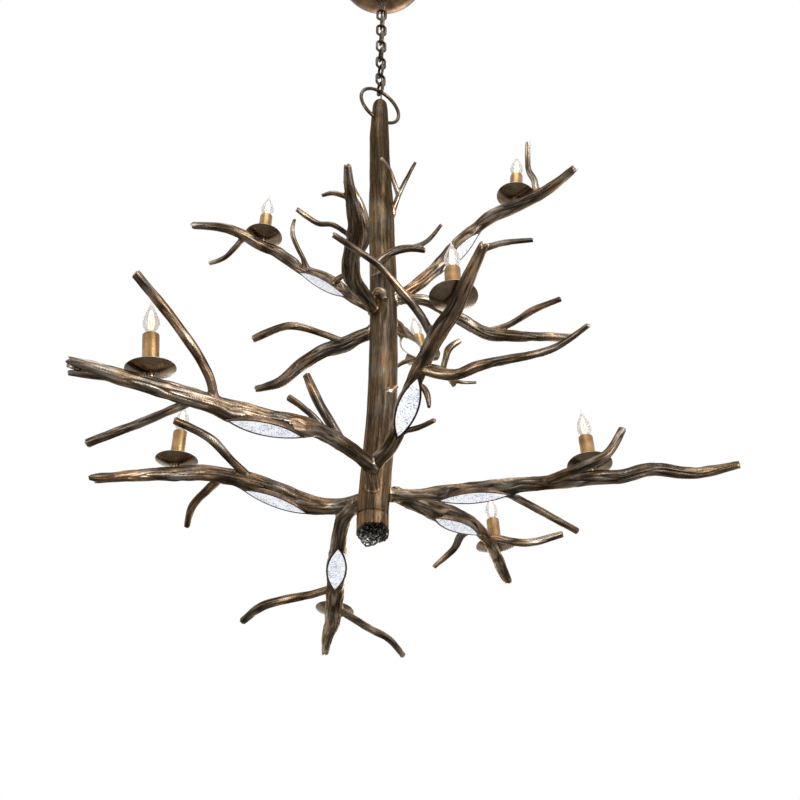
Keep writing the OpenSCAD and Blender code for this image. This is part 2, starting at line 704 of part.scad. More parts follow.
module leaf_housings() {
    color("#4a3423") each_leaf() translate([0, 0, -housing_h]) difference() {
        linear_extrude(housing_h) leaf_outline(rim_w);
        translate([0, 0, -1]) linear_extrude(housing_h - 1) leaf_outline(fit);
    }
}

module leaf_glass() {
    color([0.85, 0.92, 1, 0.8]) each_leaf() translate([0, 0, -housing_h]) linear_extrude(leaf_t)
        leaf_outline(0);
}

module leaf_light_strips() {
    strip_t = housing_h - leaf_t - 2;
    color("white") each_leaf() translate([0, 0, leaf_t - housing_h]) linear_extrude(strip_t)
        square([leaf_l * 0.6, 8], center = true);
}

ceiling_canopy();
mounting_strap();
threaded_nipple();
strap_nut();
canopy_loop();
leaf_driver();
cord_bushing();
supply_cord();
for (k = [1:chain_links]) chain_link(k);
hanging_ring();
trunk();
foot_collar();
trunk_twigs(trunk_fork);  // trunk_forked_twig
trunk_twigs(trunk_branch);  // trunk_front_branch
trunk_twigs(trunk_stub);  // trunk_front_stub
trunk_twigs(trunk_spur);  // trunk_side_spur
for (i = [0:len(limbs) - 1]) limb(i);
for (i = [0:lit - 1]) drip_pan(i);
candle_bosses();
candle_studs();
pan_nuts();
lamp_sockets();
candle_covers();
cover_screws();
bulb_caps();
bulb_glass();
leaf_housings();
leaf_glass();
leaf_light_strips();
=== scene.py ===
import bpy
import bmesh
from math import radians, sin, cos, asin, atan2, sqrt
from mathutils import Matrix, Vector, noise
import numpy as np


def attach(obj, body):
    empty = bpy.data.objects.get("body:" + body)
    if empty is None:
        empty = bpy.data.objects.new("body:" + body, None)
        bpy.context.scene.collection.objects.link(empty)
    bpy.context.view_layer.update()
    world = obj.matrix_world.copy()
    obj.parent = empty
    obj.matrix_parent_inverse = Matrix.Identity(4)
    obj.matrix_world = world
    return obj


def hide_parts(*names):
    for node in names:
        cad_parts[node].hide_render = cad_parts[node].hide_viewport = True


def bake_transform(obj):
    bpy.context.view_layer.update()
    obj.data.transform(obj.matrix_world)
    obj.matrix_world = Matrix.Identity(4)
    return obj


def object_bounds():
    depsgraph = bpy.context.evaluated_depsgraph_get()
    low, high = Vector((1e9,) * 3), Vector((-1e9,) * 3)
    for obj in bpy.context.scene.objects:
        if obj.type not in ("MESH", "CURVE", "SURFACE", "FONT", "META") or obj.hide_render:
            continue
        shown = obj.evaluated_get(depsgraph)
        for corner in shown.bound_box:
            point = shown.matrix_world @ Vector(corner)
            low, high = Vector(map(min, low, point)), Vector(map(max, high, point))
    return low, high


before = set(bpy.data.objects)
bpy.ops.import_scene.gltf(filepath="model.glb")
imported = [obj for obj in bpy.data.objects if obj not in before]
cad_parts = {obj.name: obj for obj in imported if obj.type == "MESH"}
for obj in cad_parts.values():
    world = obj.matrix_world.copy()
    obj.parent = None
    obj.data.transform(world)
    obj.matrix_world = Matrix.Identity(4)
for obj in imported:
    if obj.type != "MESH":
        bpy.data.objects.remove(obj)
cad_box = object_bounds()
bpy.ops.object.select_all(action="DESELECT")

# Camera: in front of the chandelier and a metre below its foot, looking up at it.
foot_z = -2.07336
trunk_foot = Vector((0, 0, foot_z))
bpy.ops.object.camera_add(location=trunk_foot + Vector((0.058, -1.967, -1.081)),
                          rotation=(radians(126), 0, 0))
camera = bpy.context.object
camera.data.sensor_width = 36
camera.data.lens = 47.25
bpy.context.scene.camera = camera

# Studio: a pale floor well below, wide soft boxes at both sides, overhead and behind, and
# a grey card on the floor, that only the metal's lower sides show.
bpy.ops.mesh.primitive_plane_add(size=30, location=(0, 0, -3.7))
floor = bpy.context.object
floor.name = "studio_floor"
bpy.ops.mesh.primitive_plane_add(size=1, location=(0, -1.5, -3.68))
card = bpy.context.object
card.name = "grey_card"
card.data.transform(Matrix.Diagonal((6, 7.5, 1, 1)))
card.visible_camera = card.visible_transmission = card.visible_diffuse = card.visible_shadow = False
for place, aim, size, power in (
        ((-3.2, -2.8, -2.2), (-0.2, 0, -1.5), 2.2, 75),
        ((2.6, -3.0, -1.6), (0.5, 0, -1.6), 2.6, 240),
        ((0.3, -1.8, 2.0), (0, 0, -1.6), 2.6, 60),
        ((0.6, 3.4, -0.6), (0, 0, -1.3), 2.4, 70)):
    bpy.ops.object.light_add(type="AREA", location=place)
    soft_box = bpy.context.object
    soft_box.data.size = size
    soft_box.data.energy = power
    soft_box.visible_camera = soft_box.visible_transmission = False
    soft_box.rotation_euler = (Vector(aim) - Vector(place)).to_track_quat("-Z", "Y").to_euler()
bpy.ops.object.select_all(action="DESELECT")


def plug_in(plug, value):
    """Links a wire to a socket, or sets the socket to a plain value."""
    if isinstance(value, Finish):
        value.tree.links.new(value.socket, plug)
    else:
        plug.default_value = value


class Finish:
    """One wire of a finish being mixed. Sums and products on it add Math nodes."""

    def __init__(self, tree, socket=None):
        self.tree, self.socket = tree, socket

    def node(self, kind, settings=None, out=0, **values):
        made = self.tree.nodes.new(kind)
        for key, value in (settings or {}).items():
            if key == "stops":
                ramp = made.color_ramp
                while len(ramp.elements) < len(value):
                    ramp.elements.new(0.5)
                for stop, (place, tint) in zip(ramp.elements, value):
                    stop.position, stop.color = place, (*tint, 1)
            else:
                setattr(made, key, value)
        for key, value in values.items():
            plug_in(made.inputs[int(key[1:]) if key[1:].isdigit() else key.replace("_", " ")], value)
        return Finish(self.tree, made.outputs[out])

    def maths(self, kind, one, two):
        return self.node("ShaderNodeMath", {"operation": kind}, _0=one, _1=two)

    def __add__(self, other):
        return self.maths("ADD", self, other)

    def __sub__(self, other):
        return self.maths("SUBTRACT", self, other)

    def __rsub__(self, other):
        return self.maths("SUBTRACT", other, self)

    def __mul__(self, other):
        return self.maths("MULTIPLY", self, other)

    __radd__, __rmul__ = __add__, __mul__

    def ramp(self, *stops):
        return self.node("ShaderNodeValToRGB", {"stops": stops}, Fac=self)

    def spot(self):
        """Where each point of the piece is."""
        return self.node("ShaderNodeTexCoord", out=3)

    def stretched(self, scale):
        return self.node("ShaderNodeMapping", Vector=self, Scale=scale)

    def clouds(self, scale, detail=3.0, rough=0.5):
        return self.node("ShaderNodeTexNoise", Vector=self, Scale=scale, Detail=detail, Roughness=rough)

    def cells(self, scale):
        return self.node("ShaderNodeTexVoronoi", Vector=self, Scale=scale)

    def bump(self, strength, distance):
        return self.node("ShaderNodeBump", Height=self, Strength=strength, Distance=distance)


def new_finish(name):
    """A material with its Principled shader, and the start of its wires."""
    made = bpy.data.materials.new(name)
    made.use_nodes = True
    return made, made.node_tree.nodes["Principled BSDF"], Finish(made.node_tree)


def feed(shader, **values):
    for key, value in values.items():
        plug_in(shader.inputs[key.replace("_", " ")], value)


def finish_all(piece, material):
    piece.data.materials.clear()
    piece.data.materials.append(material)


# The floor's pale paper and the white room round it, which metal and glass show too.
paper, shader, wire = new_finish("studio_paper")
mottle = wire.spot().clouds(2)
feed(shader, Base_Color=mottle.ramp((0.3, (0.80, 0.80, 0.79)), (0.7, (0.84, 0.84, 0.83))), Roughness=0.9,
     Emission_Color=wire.node("ShaderNodeLightPath") * 0.45, Emission_Strength=1.0)
finish_all(floor, paper)
felt, shader, wire = new_finish("grey_felt")
nap = wire.spot().clouds(60)
feed(shader, Base_Color=nap.ramp((0.3, (0.17, 0.17, 0.165)), (0.7, (0.21, 0.21, 0.20))), Roughness=0.95)
finish_all(card, felt)
world = bpy.data.worlds.new("white_room")
bpy.context.scene.world = world
world.use_nodes = True
air = Finish(world.node_tree)
ray = world.node_tree.nodes.new("ShaderNodeLightPath")
seen = [Finish(world.node_tree, ray.outputs[name])
        for name in ("Is Camera Ray", "Is Transmission Ray", "Is Glossy Ray")]
shown = air.maths("MAXIMUM", air.maths("MAXIMUM", seen[0], seen[1]), seen[2])
level = 0.5 + 0.5 * shown
feed(world.node_tree.nodes["Background"], Color=(1, 1, 1, 1), Strength=level)
bpy.context.scene.view_settings.view_transform = "Standard"


# Canopy: a shallow bowl spun from sheet steel and bronzed. It hides the ceiling box, and
# its floor has the hole for the nipple and, beside it, the one for the cord's bushing.
def edit_all():
    bpy.ops.object.mode_set(mode="EDIT")
    bpy.ops.mesh.select_all(action="SELECT")


def leave_edit():
    bpy.ops.object.mode_set(mode="OBJECT")


def turned(name, sides, outline):
    """A ring drawn out along an outline of (radius, height) points, as on a lathe."""
    radius, height = outline[0]
    bpy.ops.mesh.primitive_circle_add(vertices=sides, radius=radius, location=(0, 0, height))
    piece = bpy.context.object
    piece.name = piece.data.name = name
    bpy.ops.object.transform_apply()
    edit_all()
    for (old_radius, old_height), (radius, height) in zip(outline, outline[1:]):
        bpy.ops.mesh.extrude_region_move()
        share = radius / old_radius
        bpy.ops.transform.resize(value=(share, share, 1), center_override=(0, 0, old_height))
        bpy.ops.transform.translate(value=(0, 0, height - old_height))
    if outline[-1] != outline[0]:
        bpy.ops.mesh.edge_face_add()
        bpy.ops.mesh.select_all(action="DESELECT")
        bpy.ops.mesh.select_non_manifold()
        bpy.ops.mesh.edge_face_add()
    bpy.ops.mesh.select_all(action="SELECT")
    bpy.ops.mesh.remove_doubles(threshold=0.00001)
    bpy.ops.mesh.normals_make_consistent(inside=False)
    leave_edit()
    bpy.ops.object.shade_smooth_by_angle(angle=radians(40))
    return piece


def bronze(name, dark, mid, light, rough, grain_scale):
    """Brushed bronze: dark in the hollows and patches, worn light on the high spots."""
    made, shader, wire = new_finish(name)
    spot = wire.spot()
    cloud = spot.clouds(22, 4)
    grain = spot.stretched(grain_scale).clouds(1, 3, 0.6)
    speck = spot.clouds(900, 2)
    tone = cloud * 0.55 + grain * 0.35 + speck * 0.1
    feed(shader, Metallic=1.0,
         Base_Color=tone.ramp((0.32, dark), (0.5, mid), (0.68, light)),
         Roughness=tone * -0.3 + (rough + 0.15),
         Normal=(grain * 0.7 + speck * 0.3).bump(0.35, 0.0004))
    return made


def cut_away(piece, cutter):
    """Cuts the cutter's form out of a piece and removes the cutter."""
    cut = piece.modifiers.new("cut", "BOOLEAN")
    cut.object, cut.solver = cutter, "EXACT"
    bpy.context.view_layer.objects.active = piece
    bpy.ops.object.modifier_apply(modifier=cut.name)
    bpy.data.objects.remove(cutter)


canopy_bronze = bronze("canopy_bronze", (0.060, 0.033, 0.017), (0.155, 0.090, 0.048), (0.32, 0.20, 0.115),
                       0.34, (60, 60, 60))
edge_r, floor_r, deep, sheet, hole_r = 0.140, 0.090, 0.042, 0.0015, 0.0052
bowl = [(floor_r + (edge_r - floor_r) * sin(radians(a)), -deep * cos(radians(a))) for a in range(0, 91, 9)]
lining = [(r - sheet, min(z + sheet, 0)) for r, z in reversed(bowl)]
under = [(hole_r, -deep)] + [(r, -deep) for r in (0.03, 0.06, 0.086)]
over = [(0.03, sheet - deep), (hole_r, sheet - deep), (hole_r, -deep)]
canopy = turned("canopy_bowl", 128, under + bowl + [(edge_r - 0.0006, -0.00001)] + lining[1:] + over)
cord_side = 0.02325
bpy.ops.mesh.primitive_cylinder_add(vertices=48, radius=0.00525, depth=0.02, location=(cord_side, 0, -deep))
cut_away(canopy, bpy.context.object)
finish_all(canopy, canopy_bronze)
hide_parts("ceiling_canopy")
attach(canopy, "ceiling_fitting")

# Strap, nipple and nut: plated steel and brass hardware inside the canopy, seen only from
# above. The candles' studs, nuts and bulb caps are brass too. The solids' shapes are right,
# so they keep them and get their plating.
def plated(name, low, high, rough, metal=1.0):
    made, shader, wire = new_finish(name)
    spot = wire.spot()
    cloud = spot.clouds(60, 4)
    speck = spot.clouds(1400, 2)
    feed(shader, Metallic=metal, Base_Color=(cloud * 0.7 + speck * 0.3).ramp((0.35, low), (0.65, high)),
         Roughness=cloud * 0.2 + rough, Normal=speck.bump(0.2, 0.0001))
    return made


zinc = plated("zinc_plate", (0.42, 0.42, 0.40), (0.62, 0.62, 0.60), 0.28)
brass = plated("satin_brass", (0.48, 0.34, 0.13), (0.70, 0.54, 0.26), 0.25)
for node, plating in (("mounting_strap", zinc), ("strap_nut", zinc), ("threaded_nipple", brass),
                      ("candle_studs", brass), ("pan_nuts", brass), ("bulb_caps", brass)):
    finish_all(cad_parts[node], plating)

# Driver and bushing: moulded plastic. The driver lies on the canopy's floor; the bushing
# keeps the cord off the sheet's edge. The leaves' light strips are white like the driver,
# and the candles' sockets black like the bushing.
white_moulding = plated("white_moulding", (0.74, 0.74, 0.72), (0.82, 0.82, 0.80), 0.4, 0.0)
black_moulding = plated("black_moulding", (0.012, 0.012, 0.012), (0.03, 0.03, 0.03), 0.3, 0.0)
for node, plastic in (("leaf_driver", white_moulding), ("leaf_light_strips", white_moulding),
                      ("cord_bushing", black_moulding), ("lamp_sockets", black_moulding)):
    finish_all(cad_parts[node], plastic)

# Collar and eye under the canopy: a turned collar with a cast ring for the chain. The eye is
# turned like the links below it, each a right angle and a little more from the next.
def pick(*pieces):
    """Selects these pieces and no others, and makes the first the active one."""
    bpy.ops.object.select_all(action="DESELECT")
    for piece in pieces:
        piece.select_set(True)
    bpy.context.view_layer.objects.active = pieces[0]


def joined(pieces, name):
    """Joins pieces into the first of them, under a name."""
    pick(*pieces)
    if len(pieces) > 1:
        bpy.ops.object.join()
    whole = bpy.context.object
    whole.name = whole.data.name = name
    return whole


def link_turn(k):
    """How a link is turned. The eye counts as link 0, and the ring follows the last link."""
    return radians(ring_turn + 90 - (links - k) * (90 + twist))


ring_turn, twist, links = 33, 3.3, 13
chain_bronze = bronze("chain_bronze", (0.020, 0.013, 0.009), (0.050, 0.034, 0.023), (0.14, 0.095, 0.064),
                      0.33, (300, 300, 300))
collar = turned("canopy_collar", 96, [
    (0.0128, -0.0421), (0.0146, -0.0424), (0.0150, -0.0440), (0.0150, -0.0520), (0.0144, -0.0532),
    (0.0120, -0.0556), (0.0060, -0.0560)])
bpy.ops.mesh.primitive_torus_add(major_segments=72, minor_segments=20, major_radius=0.014,
                                 minor_radius=0.0035, location=(0, 0, -0.070))
eye = bpy.context.object
eye.rotation_euler = (radians(90), 0, link_turn(0))
bpy.ops.object.transform_apply()
edit_all()
bpy.ops.transform.vertex_random(offset=0.00012, seed=4)
leave_edit()
bpy.ops.object.shade_smooth()
collar = joined([collar, eye], "canopy_collar")
finish_all(collar, chain_bronze)
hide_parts("canopy_loop")
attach(collar, "ceiling_fitting")

# Chain: links of round rod, bent to an oval and welded shut at one side, the weld a little
# proud. One link is made and copied, each copy turned a little past a right angle.
def link_z(k):
    """The height of a link's middle, with link 1 at the top."""
    return first_z - (k - 1) * pitch


first_z, pitch = -0.1007, 0.0407
bend_r, half_straight, weld_half = 0.013, 0.0115, 0.004
bpy.ops.mesh.primitive_torus_add(major_segments=64, minor_segments=18, major_radius=bend_r,
                                 minor_radius=0.004, rotation=(radians(90), 0, 0))
first_link = bpy.context.object
first_link.name = "chain_link"
bpy.ops.object.transform_apply()
bpy.ops.object.mode_set(mode="EDIT")
link_mesh = bmesh.from_edit_mesh(first_link.data)
for side in (1, -1):
    bpy.ops.mesh.select_all(action="DESELECT")
    for v in link_mesh.verts:
        v.select = v.co.z * side > 0.00001
    link_mesh.select_flush(True)
    bpy.ops.transform.translate(value=(0, 0, half_straight * side))
    link_mesh = bmesh.from_edit_mesh(first_link.data)
bpy.ops.mesh.select_all(action="DESELECT")
for e in link_mesh.edges:
    e.select = abs(e.verts[0].co.z - e.verts[1].co.z) > 0.02
bpy.ops.mesh.subdivide(number_cuts=16)
link_mesh = bmesh.from_edit_mesh(first_link.data)
for v in link_mesh.verts:
    middle = Vector((bend_r if v.co.x > 0 else -bend_r, 0, v.co.z))
    if v.co.x > 0 and abs(v.co.z) < weld_half:
        swell = 1 + 0.06 * (1 - (v.co.z / weld_half) ** 2)
        v.co = middle + (v.co - middle) * swell
    v.co += Vector((noise.noise(v.co * 300), noise.noise(v.co * 300 + Vector((9, 0, 0))),
                    noise.noise(v.co * 300 + Vector((0, 9, 0))))) * 0.00012
bmesh.update_edit_mesh(first_link.data)
leave_edit()
bpy.ops.object.shade_smooth()
finish_all(first_link, chain_bronze)
for k in range(1, links + 1):
    link = first_link.copy()
    link.data = first_link.data.copy()
    link.name = link.data.name = f"bent_link_{k}"
    bpy.context.collection.objects.link(link)
    link.data.transform(Matrix.Translation((0, 0, link_z(k))) @ Matrix.Rotation(link_turn(k), 4, "Z"))
    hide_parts(f"chain_link_{k}")
    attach(link, f"link_{k}")
bpy.data.objects.remove(first_link)

# Ring: a hammered rod bent round and welded, which goes through the trunk's cross hole and
# the last link. The hammering takes up to about half a millimetre off its radius.
ring_bronze = bronze("ring_bronze", (0.028, 0.018, 0.012), (0.066, 0.044, 0.028), (0.19, 0.13, 0.08),
                     0.3, (90, 90, 90))
ring_r = 0.064
ring_middle = Vector((0, 0, -0.6678))
ring_axis = Vector((-sin(radians(ring_turn)), cos(radians(ring_turn)), 0))
bpy.ops.mesh.primitive_torus_add(major_segments=160, minor_segments=28, major_radius=ring_r,
                                 minor_radius=0.0055, location=ring_middle)
ring = bpy.context.object
ring.name = ring.data.name = "hammered_ring"
ring.rotation_euler = (radians(90), 0, radians(ring_turn))
bpy.ops.object.transform_apply()
for v in ring.data.vertices:
    arm = v.co - ring_middle
    core = (arm - ring_axis * arm.dot(ring_axis)).normalized() * ring_r
    out = arm - core
    v.co -= out * (0.05 * (0.5 + noise.noise(v.co * 70)) + 0.02 * (1 + noise.noise(v.co * 260)))
bpy.ops.object.shade_smooth()
finish_all(ring, ring_bronze)
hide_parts("hanging_ring")
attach(ring, "ring")


# Supply cord: a copper-coloured sleeved cord. It leaves the bushing in the canopy's floor,
# runs down beside the chain and goes into the hole in the trunk's top. It is made in stretches,
# from the canopy to the first link, from each link to the next, and on to the ring and the trunk.
def curved(route, steps):
    """Points on a smooth line through a route's points. The last number is a width."""
    at = [Vector(point) for point in route]
    line = []
    for i in range(len(at) - 1):
        a, b, c, d = at[max(i - 1, 0)], at[i], at[i + 1], at[min(i + 2, len(at) - 1)]
        for t in (k / steps for k in range(steps)):
            line.append((2 * b + (c - a) * t + (2 * a - 5 * b + 4 * c - d) * t * t
                         + (3 * b - a - 3 * c + d) * t ** 3) / 2)
    return line + [at[-1]]


def rod(name, line, sides, caps=True):
    """A round rod along a line of (x, y, z, radius) points."""
    curve = bpy.data.curves.new(name, "CURVE")
    curve.dimensions, curve.bevel_depth, curve.bevel_resolution = "3D", 1, sides // 2 - 2
    curve.use_fill_caps = caps
    spline = curve.splines.new("POLY")
    spline.points.add(len(line) - 1)
    for spot, point in zip(spline.points, line):
        spot.co, spot.radius = (point[0], point[1], point[2], 1), point[3]
    made = bpy.data.objects.new(name, curve)
    bpy.context.collection.objects.link(made)
    pick(made)
    bpy.ops.object.convert(target="MESH")
    bpy.ops.object.shade_smooth()
    return bpy.context.object


def beside_link(k, height):
    """The cord's place at a height, in the corner between a link and the next."""
    corner = radians(ring_turn + 45 - (links - k) * twist)
    return cord_out * cos(corner), cord_out * sin(corner), height


sleeve, shader, wire = new_finish("copper_sleeve")
spot = wire.spot()
braid = spot.stretched((1, 1, 0.5)).cells(700.0)
copper = (braid + spot.clouds(40) * 0.4).ramp((0.1, (0.42, 0.22, 0.11)), (0.9, (0.16, 0.08, 0.04)))
feed(shader, Base_Color=copper, Roughness=0.5, Normal=braid.bump(0.4, 0.0003))
cord_out, cord_r = 0.01181, 0.00225
cord_route = [(cord_side, 0, -0.0205), (cord_side, 0, -0.048), (cord_side, 0.002, -0.070)]
cord_route += [beside_link(k, link_z(k)) for k in range(1, links + 1)]
cord_route += [beside_link(links, -0.6216), (0, 0, -0.64236), (0, 0, -0.65636), (0, 0, -0.69836)]
cord_line = curved([(*point, cord_r) for point in cord_route], 8)
# The bodies that the cord passes, the heights where its stretches end, and those where it bends
swings = ["ceiling_fitting"] + [f"link_{k}" for k in range(1, links + 1)] + ["ring", "chandelier"]
ends = [0] + [link_z(k) for k in range(1, links + 1)] + [-0.6332, -1]
pivots = [-0.084] + [-0.1252 - k * pitch for k in range(links - 1)] + [-0.6136, -0.641]
for k, (upper, lower, pivot) in enumerate(zip(ends, ends[1:], pivots), 1):
    stretch = [p for p in cord_line if lower - 0.004 <= p.z <= upper + 0.004]
    piece = rod(f"cord_stretch_{k}", stretch, 14)
    finish_all(piece, sleeve)
    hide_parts("supply_cord")
    swings[k - 1]
    pivot + 0.009
    pivot - 0.009
    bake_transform(piece)


# Trunk: a crooked steel tube, forged to look like bark and bronzed. A collar is welded on
# at its open foot, and near its closed top a cross hole takes the ring.
trunk_route = [(0, 0, 40, 35), (0, 0, 60, 35), (6, 0, 149.6, 35), (15, 0, 290.7, 35), (18, 0, 420.4, 34.65),
               (18, 0, 560, 33.95), (16, 0, 699.7, 34), (12, 0, 839.3, 34), (9, 0, 950.5, 34),
               (5, 0, 1060.2, 31.25), (2, 0, 1160, 28.5), (0, 0, 1259.7, 27.65), (0, 0, 1309.6, 25.9),
               (0, 0, 1359.5, 23.9), (0, 0, 1402.2, 21.1), (0, 0, 1416.5, 16.5), (0, 0, 1425, 9.7)]


def in_metres(route, width=1.0):
    """Route points in millimetres above the trunk's foot, and shares of a width."""
    return [(x / 1000, y / 1000, foot_z + up / 1000, share * width / 1000) for x, y, up, share in route]


class Grain:
    """The run of a rod's grain: for each point of a mesh, where it lies along and across."""

    def __init__(self, lines):
        self.lines = []
        for line in lines:
            spots = np.array([p[:3] for p in line])
            width = np.array([p[3] for p in line])
            run = np.diff(spots, axis=0)
            length = np.maximum(np.linalg.norm(run, axis=1), 1e-9)
            along = np.concatenate(([0], np.cumsum(length)))
            run /= length[:, None]
            side = np.cross(run[0], (0.2, 0.3, 1) if abs(run[0][2]) < 0.8 else (1, 0.2, 0))
            sides = []
            for direction in run:
                side = side - direction * (side @ direction)
                side /= np.linalg.norm(side)
                sides.append(side.copy())
            self.lines.append((spots, width, run, length, along, np.array(sides)))

    def read(self, points):
        """Distance in widths to the nearest rod and to the next, and the straightened place."""
        best = np.full(len(points), 1e9)
        second = best.copy()
        place = np.zeros((len(points), 3))
        left, size, which = (np.zeros(len(points)) for _ in range(3))
        way = np.zeros((len(points), 3))
        for number, (spots, width, run, length, along, sides) in enumerate(self.lines):
            near = np.full(len(points), 1e9)
            at = np.zeros((len(points), 3))
            rest, thick = np.zeros(len(points)), np.zeros(len(points))
            heading = np.zeros((len(points), 3))
            for i in range(len(run)):
                arm = points - spots[i]
                t = np.clip(arm @ run[i], 0, length[i])
                off = arm - t[:, None] * run[i]
                radius = width[i] + (width[i + 1] - width[i]) * t / length[i]
                far = np.linalg.norm(off, axis=1) / radius
                hit = far < near
                near[hit] = far[hit]
                other = np.cross(run[i], sides[i])
                at[hit] = np.stack([off @ sides[i], off @ other, along[i] + t], 1)[hit]
                rest[hit] = (along[-1] - along[i] - t)[hit]
                thick[hit] = radius[hit]
                heading[hit] = run[i]
            won = near < best
            second = np.where(won, best, np.minimum(second, near))
            best = np.where(won, near, best)
            at[:, 2] += number * 3.7
            place[won], left[won], size[won] = at[won], rest[won], thick[won]
            which[won], way[won] = number, heading[won]
        return best, second, place, left, size, which, way


def clouds_at(places, across, along, seed=0.0):
    """Smooth noise from about -1 to 1 at each place, with its size across and along the grain."""
    scaled = places / np.array((across, across, along)) + seed
    return np.array([noise.noise(Vector(p)) for p in scaled])


def points_of(mesh):
    flat = np.empty(len(mesh.vertices) * 3)
    mesh.vertices.foreach_get("co", flat)
    return flat.reshape(-1, 3)


def normals_of(mesh):
    flat = np.empty(len(mesh.vertices) * 3)
    mesh.vertex_normals.foreach_get("vector", flat)
    return flat.reshape(-1, 3)


def set_points(mesh, points):
    low, high = (np.array(corner) for corner in cad_box)
    mesh.vertices.foreach_set("co", np.clip(points, low, high).ravel())
    mesh.update()


def keep_grain(mesh, places, rubbed):
    """Stores for the bark's pattern the straightened place at each point, and its wear, which on the trunk also
    carries painted shade.
    """
    grain = mesh.attributes.new("grain", "FLOAT_VECTOR", "POINT")
    grain.data.foreach_set("vector", places.ravel())
    wear_shade_layer = mesh.attributes.new("rubbed", "FLOAT", "POINT")
    wear_shade_layer.data.foreach_set("value", np.clip(rubbed, 0, 1))


def bark(name, shade, gloss):
    """Forged bark: dark furrows that run with the grain, worn ridges and coppery patches, and on the trunk
    painted shade towards its top.
    """
    made, shader, wire = new_finish(name)
    grain = wire.node("ShaderNodeAttribute", {"attribute_name": "grain"}, out=1)
    wear_shade_layer = wire.node("ShaderNodeAttribute", {"attribute_name": "rubbed"}, out=2)
    spot = wire.spot()
    streak = grain.stretched((110, 110, 6)).clouds(1, 2, 0.45)
    furrow = grain.stretched((260, 260, 20)).clouds(1, 3, 0.6)
    fine = grain.stretched((700, 700, 90)).clouds(1, 2, 0.6)
    patch = spot.clouds(11, 3)
    # The wear layer lightens worn places and, on the trunk, darkens the top as painted shade.
    tone = streak * 0.34 + furrow * 0.30 + patch * 0.20 + fine * 0.16 + (wear_shade_layer - 0.5) * 0.24
    dark, mid, light, pale = (tuple(np.multiply(tint, shade)) for tint in (
        (0.026, 0.020, 0.014), (0.085, 0.064, 0.045), (0.21, 0.16, 0.112), (0.50, 0.42, 0.33)))
    warm = spot.clouds(17, 3).ramp((0.40, (1.0, 1.0, 1.0)), (0.56, (1.0, 0.84, 0.66)),
                                   (0.68, (1.15, 0.86, 0.62)))
    colour = tone.ramp((0.38, dark), (0.49, mid), (0.60, light), (0.74, pale))
    feed(shader, Metallic=0.95, Specular_Tint=(0.8, 0.68, 0.55, 1),
         Base_Color=colour.node("ShaderNodeVectorMath", {"operation": "MULTIPLY"}, _0=colour, _1=warm),
         Roughness=(tone - 0.5) * -0.5 + gloss,
         Normal=(furrow * 0.6 + fine * 0.4).bump(0.6, 0.0014))
    return made


tube_r, bore_r, collar_up = 35, 31, 40
outside = [Vector((0, 0, foot_z + up / 1000, tube_r / 1000)) for up in range(0, collar_up, 2)]
outside += curved(in_metres(trunk_route), 34)
trunk = rod("bark_trunk", outside, 68, caps=False)
hollow = [Vector((p.x, p.y, p.z, p.w - (tube_r - bore_r) / 1000)) for p in outside if p.z < foot_z + 0.4]
inside = rod("trunk_hollow", hollow, 68, caps=False)


def select_rim(piece, low, high):
    """Selects the open edges of a mesh between two heights, in edit mode."""
    mesh = bmesh.from_edit_mesh(piece.data)
    bpy.ops.mesh.select_all(action="DESELECT")
    bpy.ops.mesh.select_mode(type="EDGE")
    for edge in mesh.edges:
        edge.select = edge.is_boundary and low <= edge.verts[0].co.z <= high
    mesh.select_flush_mode()
    bmesh.update_edit_mesh(piece.data)


bpy.ops.object.mode_set(mode="EDIT")
select_rim(inside, foot_z + 0.3, 0)
bpy.ops.mesh.edge_face_add()
leave_edit()
pick(trunk)
bpy.ops.object.mode_set(mode="EDIT")
select_rim(trunk, -0.66, 0)
top_z = -0.64836
neck = ((0.0070, 0), (0.0062, 0.0010), (0.0060, 0.0040), (0.0050, 0.0012), (0.00325, 0), (0.00325, -0.031))
for radius, rise in neck:
    bpy.ops.mesh.extrude_edges_move()
    share = radius / max(v.co.to_2d().length for v in bmesh.from_edit_mesh(trunk.data).verts if v.select)
    bpy.ops.transform.resize(value=(share, share, 1), center_override=(0, 0, top_z))
    bpy.ops.transform.translate(value=(0, 0, rise))
bpy.ops.mesh.edge_face_add()
select_rim(trunk, foot_z - 0.001, foot_z + 0.001)
bpy.ops.mesh.extrude_edges_move()
share = bore_r / tube_r
bpy.ops.transform.resize(value=(share, share, 1), center_override=(0, 0, foot_z))
leave_edit()
trunk = joined([trunk, inside], "bark_trunk")
edit_all()
bpy.ops.mesh.remove_doubles(threshold=0.0002)
bpy.ops.mesh.normals_make_consistent(inside=False)
leave_edit()
bpy.ops.mesh.primitive_cylinder_add(vertices=40, radius=0.0085, depth=0.14, location=(0, 0, foot_z + 1.344),
                                    rotation=(0, radians(90), radians(ring_turn)))
cut_away(trunk, bpy.context.object)

# The forging of the trunk: furrows down its length, lumps, the seam over the collar, and a
# foot that is torn rather than cut.
points, normals = points_of(trunk.data), normals_of(trunk.data)
near, _, places, _, size, _, _ = Grain([outside]).read(points)
skin = np.clip((near - 0.95) / 0.05, 0, 1)
height = points[:, 2] - foot_z
furrows = 1 - np.minimum(np.abs(clouds_at(places, 0.010, 0.26)) / 0.2, 1)
out = size * (0.030 * clouds_at(places, 0.035, 0.11, 5) + 0.015 * clouds_at(places, 0.012, 0.03, 9)
              + 0.010 * clouds_at(places, 0.0055, 0.05, 2) - 0.050 * furrows)
out -= 0.0016 * np.exp(-((height - collar_up / 1000) / 0.0016) ** 2)
points += normals * (out * skin)[:, None]
turn = np.arctan2(points[:, 1], points[:, 0])
ragged = np.array([noise.noise(Vector((cos(a) * 1.6, sin(a) * 1.6, 4.2)))
                   + 0.5 * noise.noise(Vector((cos(a) * 6, sin(a) * 6, 1))) for a in turn])
tear = 0.007 * ragged - 0.010 * np.sin(turn) - 0.007 * np.exp(-((turn - radians(120)) / 0.4) ** 2)
